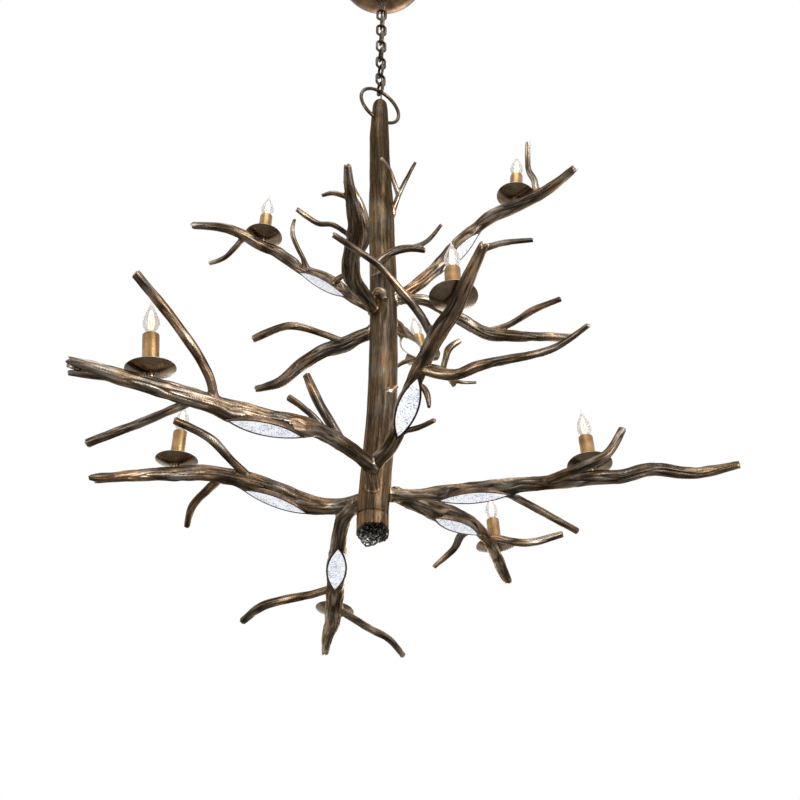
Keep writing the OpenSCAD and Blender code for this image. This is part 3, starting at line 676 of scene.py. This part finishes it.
points[:, 2] += tear * np.clip(1 - height / 0.030, 0, 1) ** 1.5
cave = np.clip((0.97 - near) / 0.05, 0, 1) * (height < 0.35)
for axis in range(3):
    points[:, axis] += cave * 0.0030 * clouds_at(places, 0.008, 0.010, 11 + axis)
set_points(trunk.data, points)
collar_shine = np.clip((0.042 - height) / 0.004, 0, 1) * 0.28
# Painted shade: the bark is darkened towards the trunk's top, from 0.95 m above the foot upwards.
top_painted_shade = 0.8 * np.clip((height - 0.95) / 0.35, 0, 1)
keep_grain(trunk.data, places, 0.5 + out / size / 0.16 + collar_shine - top_painted_shade)
trunk_bark = bark("trunk_bark", (0.85, 0.86, 0.86), 0.40)
finish_all(trunk, trunk_bark)

# Inside the foot the tube is painted near black as painted shade in its hollow, with bright specks that are
# weld spatter and painted glints.
hollow_shade, shader, wire = new_finish("painted_shade_inside")
spot = wire.spot()
specks_and_glints = spot.clouds(210, 3, 0.6)
feed(shader, Metallic=0.6, Roughness=specks_and_glints * -0.5 + 0.6, Normal=specks_and_glints.bump(0.9, 0.002),
     Base_Color=specks_and_glints.ramp((0.46, (0.02, 0.018, 0.014)), (0.54, (0.12, 0.115, 0.10)),
                             (0.64, (0.62, 0.63, 0.59))))
trunk.data.materials.append(hollow_shade)
# The faces inside the foot's hollow get the painted shade.
for face in trunk.data.polygons:
    if max(near[v] for v in face.vertices) < 0.94 and face.center.z < foot_z + 0.45:
        face.material_index = 1
pick(trunk)
bpy.ops.object.shade_smooth_by_angle(angle=radians(50))
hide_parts("trunk", "foot_collar")
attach(trunk, "chandelier")


# Twigs of the trunk: short forged rods, forked or plain, welded to the tube at four places.
# Like a limb with its twigs, each is melted into one mesh and then gets its bark.
def grown(name, routes, hosts, torn=()):
    """Rods melted into one limb, with bark, a weld where it meets its hosts, and torn ends.

    torn gives for each rod how deep its end is torn and how deep it is split."""
    limb = joined([rod(name, line, 20) for line in routes], name)
    melt = limb.modifiers.new("melt", "REMESH")
    melt.mode, melt.voxel_size = "VOXEL", 0.0021
    bpy.ops.object.modifier_apply(modifier=melt.name)
    even = limb.modifiers.new("even", "SMOOTH")
    even.factor, even.iterations = 0.5, 5
    bpy.ops.object.modifier_apply(modifier=even.name)
    points, normals = points_of(limb.data), normals_of(limb.data)
    near, second, places, left, size, which, way = Grain(routes).read(points)
    calm = np.clip((second - near) / 0.5, 0.15, 1)
    furrows = 1 - np.minimum(np.abs(clouds_at(places, 0.0068, 0.09)) / 0.22, 1)
    out = size * calm * (0.11 * clouds_at(places, 0.024, 0.050, 5) + 0.06 * clouds_at(places, 0.010, 0.026, 9)
                         + 0.03 * clouds_at(places, 0.0045, 0.04, 2) - 0.13 * furrows + 0.03)
    rubbed = 0.5 + out / size / 0.22
    for host in hosts:
        gap = (Grain([host]).read(points)[0] - 1) * host[0].w
        bead = 0.75 + 0.5 * clouds_at(points, 0.004, 0.004, 1)
        weld = np.exp(-((gap - 0.001) / 0.0028) ** 2)
        out += weld * 0.0024 * bead + np.exp(-np.maximum(gap, 0) / 0.008) * 0.0018
        rubbed += weld * 0.55
    points += normals * out[:, None]
    which = which.astype(int)
    torn = list(torn) + [(0.003, 0)] * (len(routes) - len(torn))
    tear, split = (np.array(depth)[which] for depth in zip(*torn))
    reach = np.clip(1 - left / np.maximum(3 * np.maximum(tear, split), 0.008), 0, 1)
    rough = 0.5 + 0.9 * clouds_at(places * (1, 1, 0), 0.0045, 1, 6)
    back = (tear * np.maximum(rough, 0) + split * np.exp(-(places[:, 0] / (0.34 * size)) ** 2)) * reach ** 1.3
    points -= way * back[:, None]
    set_points(limb.data, points)
    keep_grain(limb.data, places, rubbed + 0.35 * np.clip(1 - left / 0.006, 0, 1))
    bpy.ops.object.shade_smooth()
    return limb


limb_bark = bark("limb_bark", (1.13, 1.21, 1.37), 0.38)
limb_r, twig_r = 16, 7.5
trunk_sprigs = {
    "trunk_forked_twig": [
        [(0, 0, 905, 1), (28, -2, 930, 1), (40, -8, 965, 0.95), (60, -35, 1012, 0.9), (100, -75, 1080, 0.6)],
        [(54, -27, 998, 0.85), (30, -72, 1052, 0.8), (6, -86, 1082, 0.6)]],
    "trunk_front_branch": [
        [(0, 0, 718, 1.5), (2, -45, 731, 1.5), (40, -76, 745, 1.4), (82, -90, 746, 1.3), (122, -86, 741, 0.9)],
        [(80, -88, 746, 0.9), (125, -98, 762, 0.85), (162, -120, 800, 0.6)]],
    "trunk_front_stub": [
        [(0, 0, 660, 1.3), (4, -48, 642, 1.3), (20, -62, 622, 1.2), (22, -66, 596, 1)]],
    "trunk_side_spur": [
        [(0, 0, 342, 1), (30, -26, 352, 0.95), (54, -32, 366, 0.6)]]
}
for node, routes in trunk_sprigs.items():
    sprig = grown(node + "_bark", [curved(in_metres(route, twig_r), 8) for route in routes], [outside])
    finish_all(sprig, limb_bark)
    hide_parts(node)
    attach(sprig, "chandelier")

# Limbs: forged and bent rods with their twigs welded on, in two tiers. Each is cut to fit
# the trunk, or the limb that it forks from, and welded round. The lit ones have a leaf's
# housing let into their underside and a candle on top.
def leaf_place(route, k):
    """Where a leaf's housing sits: under the limb at a point of its route, in line with it."""
    before, spot, after = (Vector((x, y, up + foot_z * 1000)) / 1000 for x, y, up, _ in route[k - 1:k + 2])
    run = (after - before).normalized()
    return (Matrix.Translation(spot) @ Matrix.Rotation(atan2(run.y, run.x), 4, "Z")
            @ Matrix.Rotation(-asin(run.z), 4, "Y")
            @ Matrix.Translation((0, 0, 0.006 - limb_r / 1000 * route[k][3])))


def candle_place(route, k, lean):
    """Where a candle stands: on the flat that is cut for it on top of the limb."""
    x, y, up, share = route[k]
    return (Matrix.Translation((x / 1000, y / 1000, up / 1000 + foot_z))
            @ Matrix.Rotation(radians(lean[1]), 4, "Y") @ Matrix.Rotation(radians(lean[0]), 4, "X")
            @ Matrix.Translation((0, 0, limb_r / 1000 * share - 0.002)))


def seat_leaf(limb, place):
    """Presses the limb's underside flat within the leaf housing's outline, and draws the
    metal round it and beyond its two ends down against it."""
    points = points_of(limb.data)
    turned_back = np.array(place.inverted())
    local = points @ turned_back[:3, :3].T + turned_back[:3, 3]
    off = np.hypot(local[:, 0], np.abs(local[:, 1]) + leaf_bow - leaf_half) - leaf_bow - tray_rim
    close = np.abs(local[:, 2]) < 0.035
    tip = np.clip((np.abs(local[:, 0]) - 0.050) / 0.0265, 0, 1)
    reach = 0.005 + 0.022 * tip
    fade = np.clip(1 - off / reach, 0, 1)
    low = np.clip((0.010 + 0.014 * tip - local[:, 2]) / (0.015 + 0.010 * tip), 0, 1)
    drawn = (fade * low) ** 2 * (3 - 2 * fade) * (3 - 2 * low) * np.minimum(-0.0092 - local[:, 2], 0)
    under = off < -0.001
    flat = -0.0004
    pressed = np.where(close & ~under, local[:, 2] + drawn, local[:, 2])
    local[:, 2] = np.where(close & under & (local[:, 2] < flat), flat, pressed)
    forth = np.array(place)
    set_points(limb.data, local @ forth[:3, :3].T + forth[:3, 3])


# A leaf's outline: two arcs that meet in a point at each end, and the tray's rim round it
leaf_half, leaf_reach, tray_rim = 0.020, 0.072, 0.0045
leaf_bow = (leaf_reach ** 2 + leaf_half ** 2) / (2 * leaf_half)
# Each route's points are x, y and height above the foot in millimetres and a share of limb_r,
# or of twig_r in a twig's route.
low_front = [
    (0, 0, 82, 0.89), (0, -40, 97, 0.89), (0, -69, 120, 0.97), (37, -109, 148, 1), (57, -159, 172, 1),
    (71, -205, 192, 1), (87, -256, 213, 0.97), (105, -294, 232, 1.07), (140, -362, 263, 1.09),
    (164, -405, 273, 1.01), (193, -488, 295, 0.8), (217, -552, 314, 0.59)]
low_front_twigs = [
    [(128, -329, 254, 1.2), (98, -374, 288, 1.2), (58, -404, 324, 1.11), (14, -447, 354, 1.01),
     (-76, -492, 394, 0.8)],
    [(99, -284, 219, 1.4), (165, -303, 190, 1.59), (225, -342, 187, 1.41), (340, -413, 165, 1),
     (408, -480, 172, 0.66)],
    [(208, -533, 308, 0.85), (249, -544, 317, 0.84), (310, -546, 324, 0.62)],
    [(52, -144, 164, 1), (91, -168, 153, 0.82), (131, -200, 153, 0.73)],
    [(93, -258, 208, 0.75), (112, -251, 183, 0.97), (117, -243, 151, 0.54)]]
low_left_front = [
    (0, -69, 120, 1.01), (-25, -105, 123, 0.99), (-60, -155, 123, 0.99), (-128, -237, 112, 1.1),
    (-205, -275, 103, 1.27), (-285, -309, 107, 1.17), (-350, -339, 110, 1.15), (-415, -375, 110, 1.09),
    (-500, -414, 114, 0.93), (-562, -440, 118, 0.67)]
low_left_front_twigs = [
    [(-300, -315, 109, 1.31), (-315, -361, 156, 1.28), (-378, -417, 234, 1.36), (-452, -477, 304, 1.3)],
    [(-335, -331, 109, 1.16), (-450, -281, 89, 1.24), (-560, -243, 65, 1.24)],
    [(-86, -189, 119, 0.93), (-121, -206, 159, 0.98), (-174, -219, 198, 0.97)],
    [(-60, -155, 122, 1.39), (-109, -206, 190, 1.4), (-138, -237, 244, 1.14)],
    [(-466, -399, 114, 1.53), (-515, -415, 104, 1.11), (-556, -431, 97, 0.69)]]
low_left = [
    (0, 0, 95, 1.11), (-32, 44, 102, 1.13), (-95, 94, 118, 1.14), (-156, 96, 133, 1.2), (-216, 89, 153, 1.41),
    (-284, 72, 173, 1.24), (-374, 64, 188, 1.16), (-456, 71, 191, 1.08), (-515, 84, 198, 0.96),
    (-660, 117, 205, 0.62)]
low_left_twigs = [
    [(-269, 76, 168, 1.26), (-325, 27, 203, 1.26), (-372, -15, 235, 1.35), (-446, -52, 256, 1.15)],
    [(-344, 66, 186, 1.38), (-421, 147, 155, 1.32), (-442, 202, 125, 0.91)],
    [(-590, 101, 202, 1.43), (-635, 103, 202, 1.41), (-664, 109, 205, 0.88)]]
low_right = [
    (0, 0, 98, 0.81), (45, 5, 98, 0.79), (95, 8, 98, 0.79), (150, -2, 101, 0.85), (217, -12, 100, 1.06),
    (296, -27, 101, 0.99), (400, -42, 102, 0.96), (469, -49, 107, 0.97), (531, -51, 109, 0.93),
    (600, -57, 124, 0.89), (690, -49, 118, 0.8), (787, -68, 129, 0.52)]
low_right_twigs = [
    [(370, -40, 102, 1.48), (441, -120, 91, 1.44), (489, -144, 108, 1.35), (527, -143, 170, 1.13)],
    [(273, -22, 94, 1.08), (301, -10, 84, 1.08), (339, 22, 82, 1.13), (455, 100, 58, 1.04)]]
low_right_back = [
    (45, 5, 99, 0.91), (89, 67, 114, 1.19), (141, 119, 123, 1.31), (187, 159, 130, 1.35), (231, 211, 137, 0.98),
    (269, 284, 139, 0.86), (300, 383, 142, 0.9), (319, 447, 137, 0.89), (338, 506, 137, 0.71)]
low_right_back_twigs = [
    [(235, 216, 136, 1.4), (204, 241, 127, 1.35), (184, 263, 99, 1.12), (137, 291, 66, 0.73)],
    [(263, 268, 139, 1.29), (365, 315, 145, 1.33), (460, 322, 174, 1.12)]]
low_back = [
    (-32, 44, 102, 1.04), (-68, 101, 96, 1.08), (-82, 172, 76, 1.12), (-90, 245, 59, 1.31),
    (-96, 317, 43, 1.31), (-102, 407, 27, 1.35), (-112, 497, 16, 1.19), (-127, 566, 12, 0.92),
    (-138, 661, 1, 0.55)]
low_back_twigs = [
    [(-97, 337, 39, 1.23), (-155, 372, 36, 1.3), (-274, 424, 32, 1.48), (-339, 503, 24, 1.31)],
    [(-103, 422, 26, 1.33), (-29, 506, 12, 1.3), (30, 567, 3, 1.21), (67, 629, -16, 1.03)]]
up_left = [
    (0, 0, 628, 1.01), (-40, 5, 656, 1), (-81, 15, 698, 0.93), (-129, 21, 745, 1), (-184, 25, 776, 0.89),
    (-229, 28, 817, 0.98), (-265, 26, 845, 0.95), (-303, 19, 861, 0.91), (-348, -12, 868, 0.86),
    (-403, -31, 877, 0.73), (-484, -26, 890, 0.57)]
up_left_twigs = [
    [(-346, -10, 865, 1.1), (-401, 48, 849, 0.97), (-446, 58, 833, 0.73)],
    [(-170, 24, 766, 0.84), (-209, -28, 823, 0.84), (-218, -43, 855, 0.77), (-213, -51, 889, 0.59)],
    [(-107, 19, 715, 1.11), (-98, -11, 716, 1.04), (-76, -36, 709, 0.89)]]
up_right_front = [
    (0, 0, 626, 0.88), (50, -5, 656, 0.92), (106, -10, 702, 1.03), (151, -15, 754, 1.01), (196, -23, 809, 1.1),
    (242, -36, 859, 0.95), (299, -62, 891, 1.06), (354, -81, 905, 1.05), (426, -122, 915, 0.87),
    (501, -177, 944, 0.55)]
up_right_front_twigs = [
    [(404, -110, 911, 1.13), (401, -131, 941, 1.13), (385, -147, 974, 1.04), (383, -195, 1019, 0.8)]]
up_back = [
    (0, 0, 576, 0.9), (42, 18, 592, 0.88), (67, 74, 615, 0.8), (84, 134, 636, 0.92), (99, 194, 657, 0.9),
    (114, 245, 672, 0.83), (126, 299, 683, 0.78), (177, 356, 707, 0.72), (200, 396, 712, 0.63),
    (213, 430, 710, 0.45)]
up_back_twigs = [
    [(177, 356, 707, 1.1), (187, 357, 752, 1.22), (198, 354, 788, 1.45), (230, 350, 812, 1.02)],
    [(200, 396, 711, 0.79), (231, 422, 717, 0.77), (278, 431, 723, 0.64)],
    [(117, 255, 674, 0.98), (72, 241, 650, 0.92), (47, 229, 622, 0.65)]]
up_front = [
    (0, 0, 610, 0.86), (-26, -69, 608, 1.06), (-54, -131, 607, 1.29), (-55, -203, 611, 1.28),
    (-41, -275, 625, 1.16), (-52, -353, 655, 0.85), (-58, -413, 687, 0.51)]
up_front_twigs = [
    [(-56, -189, 610, 1.67), (-22, -235, 637, 1.67), (-34, -288, 684, 1.59), (-65, -331, 729, 1.21)],
    [(-47, -251, 619, 0.85), (-92, -278, 635, 0.81), (-130, -279, 641, 0.84), (-176, -309, 656, 0.77)],
    [(-52, -345, 651, 0.83), (-89, -351, 661, 0.77), (-118, -346, 657, 0.59)]]
up_right = [
    (50, -5, 656, 0.73), (86, -10, 650, 0.81), (122, -1, 652, 0.88), (168, 25, 647, 0.94), (217, 54, 634, 1.01),
    (284, 73, 606, 0.99), (375, 68, 595, 0.84), (490, 68, 592, 0.59)]
up_right_twigs = [
    [(269, 71, 612, 1.06), (330, 61, 625, 1.11), (395, 37, 656, 1.19), (464, 20, 678, 0.95)]]
up_left_back = [
    (0, 0, 558, 0.96), (-45, 19, 550, 1.05), (-81, 37, 543, 1.19), (-134, 51, 532, 1.07), (-188, 71, 504, 0.99),
    (-235, 86, 466, 0.82), (-298, 92, 446, 0.5)]
up_left_back_twigs = [
    [(-72, 32, 544, 1.09), (-155, 6, 562, 1.13), (-220, -8, 564, 1.29), (-301, 11, 538, 1.28)]]
# For each node its route, its twigs, the route that it forks from, and the points of its
# own route that the leaf and the candle are at
limbs = {
    "lower_limb_front": (low_front, low_front_twigs, None, 5, 9),
    "lower_limb_left_front": (low_left_front, low_left_front_twigs, low_front, 4, 7),
    "lower_limb_left": (low_left, low_left_twigs, None, 4, 7),
    "lower_limb_right": (low_right, low_right_twigs, None, 4, 7),
    "lower_limb_right_back": (low_right_back, low_right_back_twigs, low_right, 3, 6),
    "lower_limb_back": (low_back, low_back_twigs, low_left, 3, 6),
    "upper_limb_left": (up_left, up_left_twigs, None, 3, 7),
    "upper_limb_right_front": (up_right_front, up_right_front_twigs, None, 4, 7),
    "upper_limb_back": (up_back, up_back_twigs, None, 3, 6),
    "upper_limb_front": (up_front, up_front_twigs, up_left, None, None),
    "upper_limb_right": (up_right, up_right_twigs, up_right_front, None, None),
    "upper_limb_left_back": (up_left_back, up_left_back_twigs, None, None, None)
}
# How many degrees each candle leans forward and to the right
leans = [(0, 0), (11, -5), (6, 1), (-3, -1), (0, -3), (0, 7), (1, 2), (1, 5), (0, -10)]
# How deep the end of a limb and of its first twigs is torn, and how deep it is split
torn_ends = {"lower_limb_front": [(0.010, 0.004), (0.006, 0)], "lower_limb_left_front": [(0.012, 0.022)],
             "lower_limb_left": [(0.008, 0.014)], "lower_limb_right_back": [(0.010, 0.004)],
             "lower_limb_back": [(0.010, 0.008)], "upper_limb_right_front": [(0.008, 0.006)]}
leaves, candles = [], []
for number, (node, (route, twigs, parent, leaf, candle)) in enumerate(limbs.items()):
    lines = [curved(in_metres(route, limb_r), 8)] + [curved(in_metres(twig, twig_r), 8) for twig in twigs]
    hosts = [outside] + ([curved(in_metres(parent, limb_r), 8)] if parent else [])
    limb = grown(node + "_bark", lines, hosts, torn_ends.get(node, [(0.005, 0)]))
    if leaf:
        leaves.append(leaf_place(route, leaf))
        candles.append(candle_place(route, candle, leans[number]))
        seat_leaf(limb, leaves[-1])
    finish_all(limb, limb_bark)
    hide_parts(node)
    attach(limb, "chandelier")


# Drip pans: dishes spun from sheet bronze, one under each candle, held down by a nut.
def keep_lathe(piece):
    """Stores each point's place on the lathe, so that turning marks follow the piece."""
    lathe = piece.data.attributes.new("lathe", "FLOAT_VECTOR", "POINT")
    lathe.data.foreach_set("vector", points_of(piece.data).ravel())


def copied(pattern, name, place):
    """A copy of a finished piece with its own mesh, set in its place."""
    piece = bpy.data.objects.new(name, pattern.data.copy())
    piece.data.name = name
    bpy.context.collection.objects.link(piece)
    piece.data.transform(place)
    return piece


def turned_metal(name, dark, mid, light, rough, marks):
    """Metal from the lathe: fine marks round it, and darker patches."""
    made, shader, wire = new_finish(name)
    lathe = wire.node("ShaderNodeAttribute", {"attribute_name": "lathe"}, out=1)
    spot = wire.spot()
    arm = lathe.node("ShaderNodeVectorMath", {"operation": "LENGTH"}, out=1, _0=lathe.stretched((1, 1, 0)))
    height = lathe.node("ShaderNodeSeparateXYZ", out=2, _0=lathe)
    ring = lathe.node("ShaderNodeCombineXYZ", _0=arm * marks, _1=height * marks)
    lines = ring.clouds(1, 2, 0.6)
    cloud = spot.clouds(35, 4)
    speck = spot.clouds(700, 2)
    tone = lines * 0.4 + cloud * 0.45 + speck * 0.15
    feed(shader, Metallic=1.0, Base_Color=tone.ramp((0.34, dark), (0.5, mid), (0.66, light)),
         Roughness=(tone - 0.5) * -0.5 + rough, Normal=(lines * 0.7 + speck * 0.3).bump(0.3, 0.0003))
    return made


pan_bronze = turned_metal("pan_bronze", (0.14, 0.10, 0.066), (0.26, 0.19, 0.127), (0.42, 0.32, 0.22),
                          0.25, 900)
sweep = [(0.0165 + 0.0325 * t / 12, 0.012 * (0.72 * t / 12 + 0.28 * (t / 12) ** 2)) for t in range(13)]
rim = [(0.0490, 0.0125), (0.0487, 0.0131), (0.0482, 0.0133)]
over = [(r - 0.0010, up + 0.0013) for r, up in reversed(sweep[:-1])]
dish = turned("spun_dish", 96, [(0.0052, 0), (0.012, 0)] + sweep + rim + over
              + [(0.012, 0.0015), (0.0052, 0.0015), (0.0052, 0)])
boss_tall = 0.0080
keep_lathe(dish)
finish_all(dish, pan_bronze)
for number, stand in enumerate(candles, 1):
    pan = copied(dish, f"spun_pan_{number}", stand @ Matrix.Translation((0, 0, boss_tall)))
    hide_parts(f"drip_pan_{number}")
    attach(pan, "chandelier")
bpy.data.objects.remove(dish)

# Bosses: short turned pillars between limb and pan, with a bead round the middle.
boss = turned("turned_boss", 48, [
    (0.0052, 0), (0.0088, 0), (0.0090, 0.0006), (0.0090, 0.0020), (0.0078, 0.0030), (0.0078, 0.0040),
    (0.0086, 0.0048), (0.0086, 0.0058), (0.0078, 0.0066), (0.0090, 0.0075), (0.0090, boss_tall),
    (0.0052, boss_tall), (0.0052, 0)])


def one_for_each(places, pattern, name, node):
    """A copy of a piece at each candle or leaf, joined as the group that stands for a node."""
    keep_lathe(pattern)
    parts = [copied(pattern, f"{name}_{number}", place) for number, place in enumerate(places, 1)]
    bpy.data.objects.remove(pattern)
    group = joined(parts, name)
    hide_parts(node)
    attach(group, "chandelier")
    return group


finish_all(boss, pan_bronze)
one_for_each(candles, boss, "turned_bosses", "candle_bosses")

# Candle covers: drawn tubes with a rolled top, brushed and lacquered in antique gold. A
# small black screw low at the front holds each to the socket inside.
cover_gold = turned_metal("cover_gold", (0.13, 0.073, 0.031), (0.29, 0.172, 0.077), (0.50, 0.33, 0.16),
                          0.36, 1400)
candle_top = 0.0935
tube = turned("candle_tube", 64, [
    (0.0150, 0.0095), (0.0162, 0.0095), (0.0165, 0.0098), (0.0165, 0.0905), (0.0162, 0.0922),
    (0.0155, 0.0932), (0.0140, candle_top), (0.0110, 0.0934), (0.0098, 0.0930), (0.0096, 0.0925),
    (0.0098, 0.0920), (0.0150, 0.0920), (0.0150, 0.0095)])
finish_all(tube, cover_gold)
one_for_each(candles, tube, "candle_tubes", "candle_covers")
screw_black = plated("screw_black", (0.018, 0.014, 0.011), (0.06, 0.048, 0.038), 0.3)
screw = turned("slotted_head", 24, [(0.0013, 0), (0.0014, 0.0064), (0.0019, 0.0066), (0.0019, 0.0070),
                                    (0.0015, 0.0074), (0.0004, 0.0075)])
screw.data.transform(Matrix.Translation((0, -0.0100, 0.0185)) @ Matrix.Rotation(radians(90), 4, "X"))
finish_all(screw, screw_black)
one_for_each(candles, screw, "cover_screw_heads", "cover_screws")

# Lamps: clear flame-tip glass, blown thin, with a glass stem and four glowing filaments.
clear, shader, wire = new_finish("lamp_glass")
haze = wire.spot().clouds(60, 2)
feed(shader, Base_Color=haze.ramp((0.3, (0.70, 0.68, 0.66)), (0.7, (0.80, 0.78, 0.75))),
     Transmission_Weight=0.94, IOR=1.3, Roughness=haze * 0.2 + 0.03, Normal=haze.bump(0.1, 0.0004))
bulb_r, bulb_tall = 0.017, 0.0815
flame = [(0, 0.4), (0.04, 0.44), (0.08, 0.55), (0.14, 0.75), (0.2, 0.9), (0.26, 0.98), (0.32, 1), (0.38, 0.97),
         (0.45, 0.9), (0.53, 0.75), (0.62, 0.56), (0.71, 0.38), (0.8, 0.22), (0.87, 0.13), (0.93, 0.075),
         (1, 0.02)]
shell = [(bulb_r * wide, candle_top + bulb_tall * up) for up, wide in flame]
bulb = turned("blown_bulb", 48, shell)
lining = turned("bulb_lining", 48, [(r - 0.0008, up + 0.0006) for r, up in shell[:-3]])
edit_all()
bpy.ops.mesh.flip_normals()
leave_edit()
bulb = joined([bulb, lining], "blown_bulb")
finish_all(bulb, clear)
bulbs = one_for_each(candles, bulb, "blown_bulbs", "bulb_glass")
bulbs.visible_shadow = False
glow, shader, wire = new_finish("filament_glow")
pulse = wire.spot().clouds(300, 2)
feed(shader, Base_Color=(1, 0.8, 0.5, 1), Roughness=0.5,
     Emission_Color=pulse.ramp((0.3, (1, 0.60, 0.28)), (0.7, (1, 0.74, 0.44))), Emission_Strength=6.0)
stem_line = ((93.6, 4.5), (96, 4.2), (99, 2.2), (104, 1.3), (120, 1.1), (122, 1.6), (123, 0.6))
stem = rod("lamp_stem", [Vector((0, 0, up / 1000, wide / 1000)) for up, wide in stem_line], 16)
finish_all(stem, clear)
wires = [stem]
for k in range(4):
    lean = Matrix.Rotation(radians(90 * k + 20), 4, "Z")
    spots = [lean @ Vector((x / 1000, 0, up / 1000)) for x, up in
             ((1.2, 105), (2.8, 107), (4.6, 110), (5.0, 119), (4.4, 131), (3.2, 141), (1.2, 147))]
    wires.append(rod("filament", [Vector((*spot, 0.0006)) for spot in spots], 8))
    finish_all(wires[-1], glow)
lamp_wires = joined(wires, "lamp_wires")
for number, stand in enumerate(candles, 1):
    wires = copied(lamp_wires, f"lamp_filaments_{number}", stand)
    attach(wires, "chandelier")
bpy.data.objects.remove(lamp_wires)


# Leaf housings: shallow leaf-shaped trays of bronzed sheet, let into the underside of each
# lit limb. The rim stands round the glass and is dressed to a soft edge.
def leaf_outline(rim, steps=22):
    """Points round a leaf with two pointed ends, widened by a rim."""
    radius, back = leaf_bow + rim, leaf_bow - leaf_half
    swing = asin(sqrt(radius ** 2 - back ** 2) / radius)
    arc = [(radius * sin(a), radius * cos(a) - back) for a in
           (-swing + 2 * swing * k / steps for k in range(steps))]
    return arc + [(-x, -y) for x, y in arc]


def leaf_block(name, rim, low, high):
    """A solid with the leaf's outline between two heights."""
    bpy.ops.mesh.primitive_circle_add(vertices=44, radius=1, fill_type="NGON")
    block = bpy.context.object
    block.name = block.data.name = name
    for vertex, (x, y) in zip(block.data.vertices, leaf_outline(rim)):
        vertex.co = (x, y, low)
    edit_all()
    bpy.ops.mesh.extrude_region_move(TRANSFORM_OT_translate={"value": (0, 0, high - low)})
    bpy.ops.mesh.select_all(action="SELECT")
    bpy.ops.mesh.normals_make_consistent(inside=False)
    leave_edit()
    return block


tray = leaf_block("leaf_tray", tray_rim, -0.011, 0)
cut_away(tray, leaf_block("leaf_well", 0.0001, -0.012, -0.001))
soft = tray.modifiers.new("soft_edge", "BEVEL")
soft.width, soft.segments, soft.limit_method, soft.angle_limit = 0.0012, 3, "ANGLE", radians(50)
bpy.ops.object.modifier_apply(modifier=soft.name)
pick(tray)
bpy.ops.object.shade_smooth_by_angle(angle=radians(40))
tray_bronze = bronze("tray_bronze", (0.035, 0.022, 0.014), (0.10, 0.068, 0.045), (0.26, 0.18, 0.12),
                     0.36, (120, 120, 120))
finish_all(tray, tray_bronze)
one_for_each(leaves, tray, "leaf_trays", "leaf_housings")

# Leaf glass: poured panes full of seeds, ground to the leaf's outline and lit from behind.
pane_under = -0.0108
pane = leaf_block("poured_pane", 0, pane_under, -0.007)
bpy.ops.object.mode_set(mode="EDIT")
bpy.ops.mesh.select_all(action="DESELECT")
mesh = bmesh.from_edit_mesh(pane.data)
for face in mesh.faces:
    face.select = face.normal.z < -0.9
bmesh.update_edit_mesh(pane.data)
for inward, down in ((0.0025, 0.0006), (0.003, 0.0005), (0.004, 0.0004)):
    bpy.ops.mesh.inset(thickness=inward, depth=0)
    bpy.ops.transform.translate(value=(0, 0, -down))
bpy.ops.mesh.select_all(action="SELECT")
bpy.ops.mesh.quads_convert_to_tris()
bpy.ops.mesh.subdivide(number_cuts=2)
leave_edit()
for vertex in pane.data.vertices:
    if vertex.co.z < pane_under - 0.0001:
        vertex.co.z += 0.0003 * noise.noise(vertex.co * 160)
bpy.ops.object.shade_smooth_by_angle(angle=radians(35))
seeded, shader, wire = new_finish("seeded_glass")
spot = wire.spot()
seeds = spot.cells(300.0)
milk = spot.clouds(60, 3, 0.6)
grit = spot.clouds(330, 3, 0.75)
tone = grit * 0.62 + milk * 0.22 + seeds * 0.16
body = tone.ramp((0.37, (0.05, 0.05, 0.08)), (0.44, (0.24, 0.25, 0.30)), (0.53, (0.46, 0.47, 0.50)))
lit = tone.ramp((0.37, (0.10, 0.10, 0.15)), (0.44, (0.62, 0.64, 0.76)), (0.53, (0.98, 0.99, 1.0)))
feed(shader, Base_Color=body, Roughness=milk * 0.3 + 0.08, Emission_Color=lit, Emission_Strength=0.46,
     Normal=(seeds * 0.5 + grit).bump(0.5, 0.001))
finish_all(pane, seeded)
one_for_each(leaves, pane, "poured_panes", "leaf_glass")
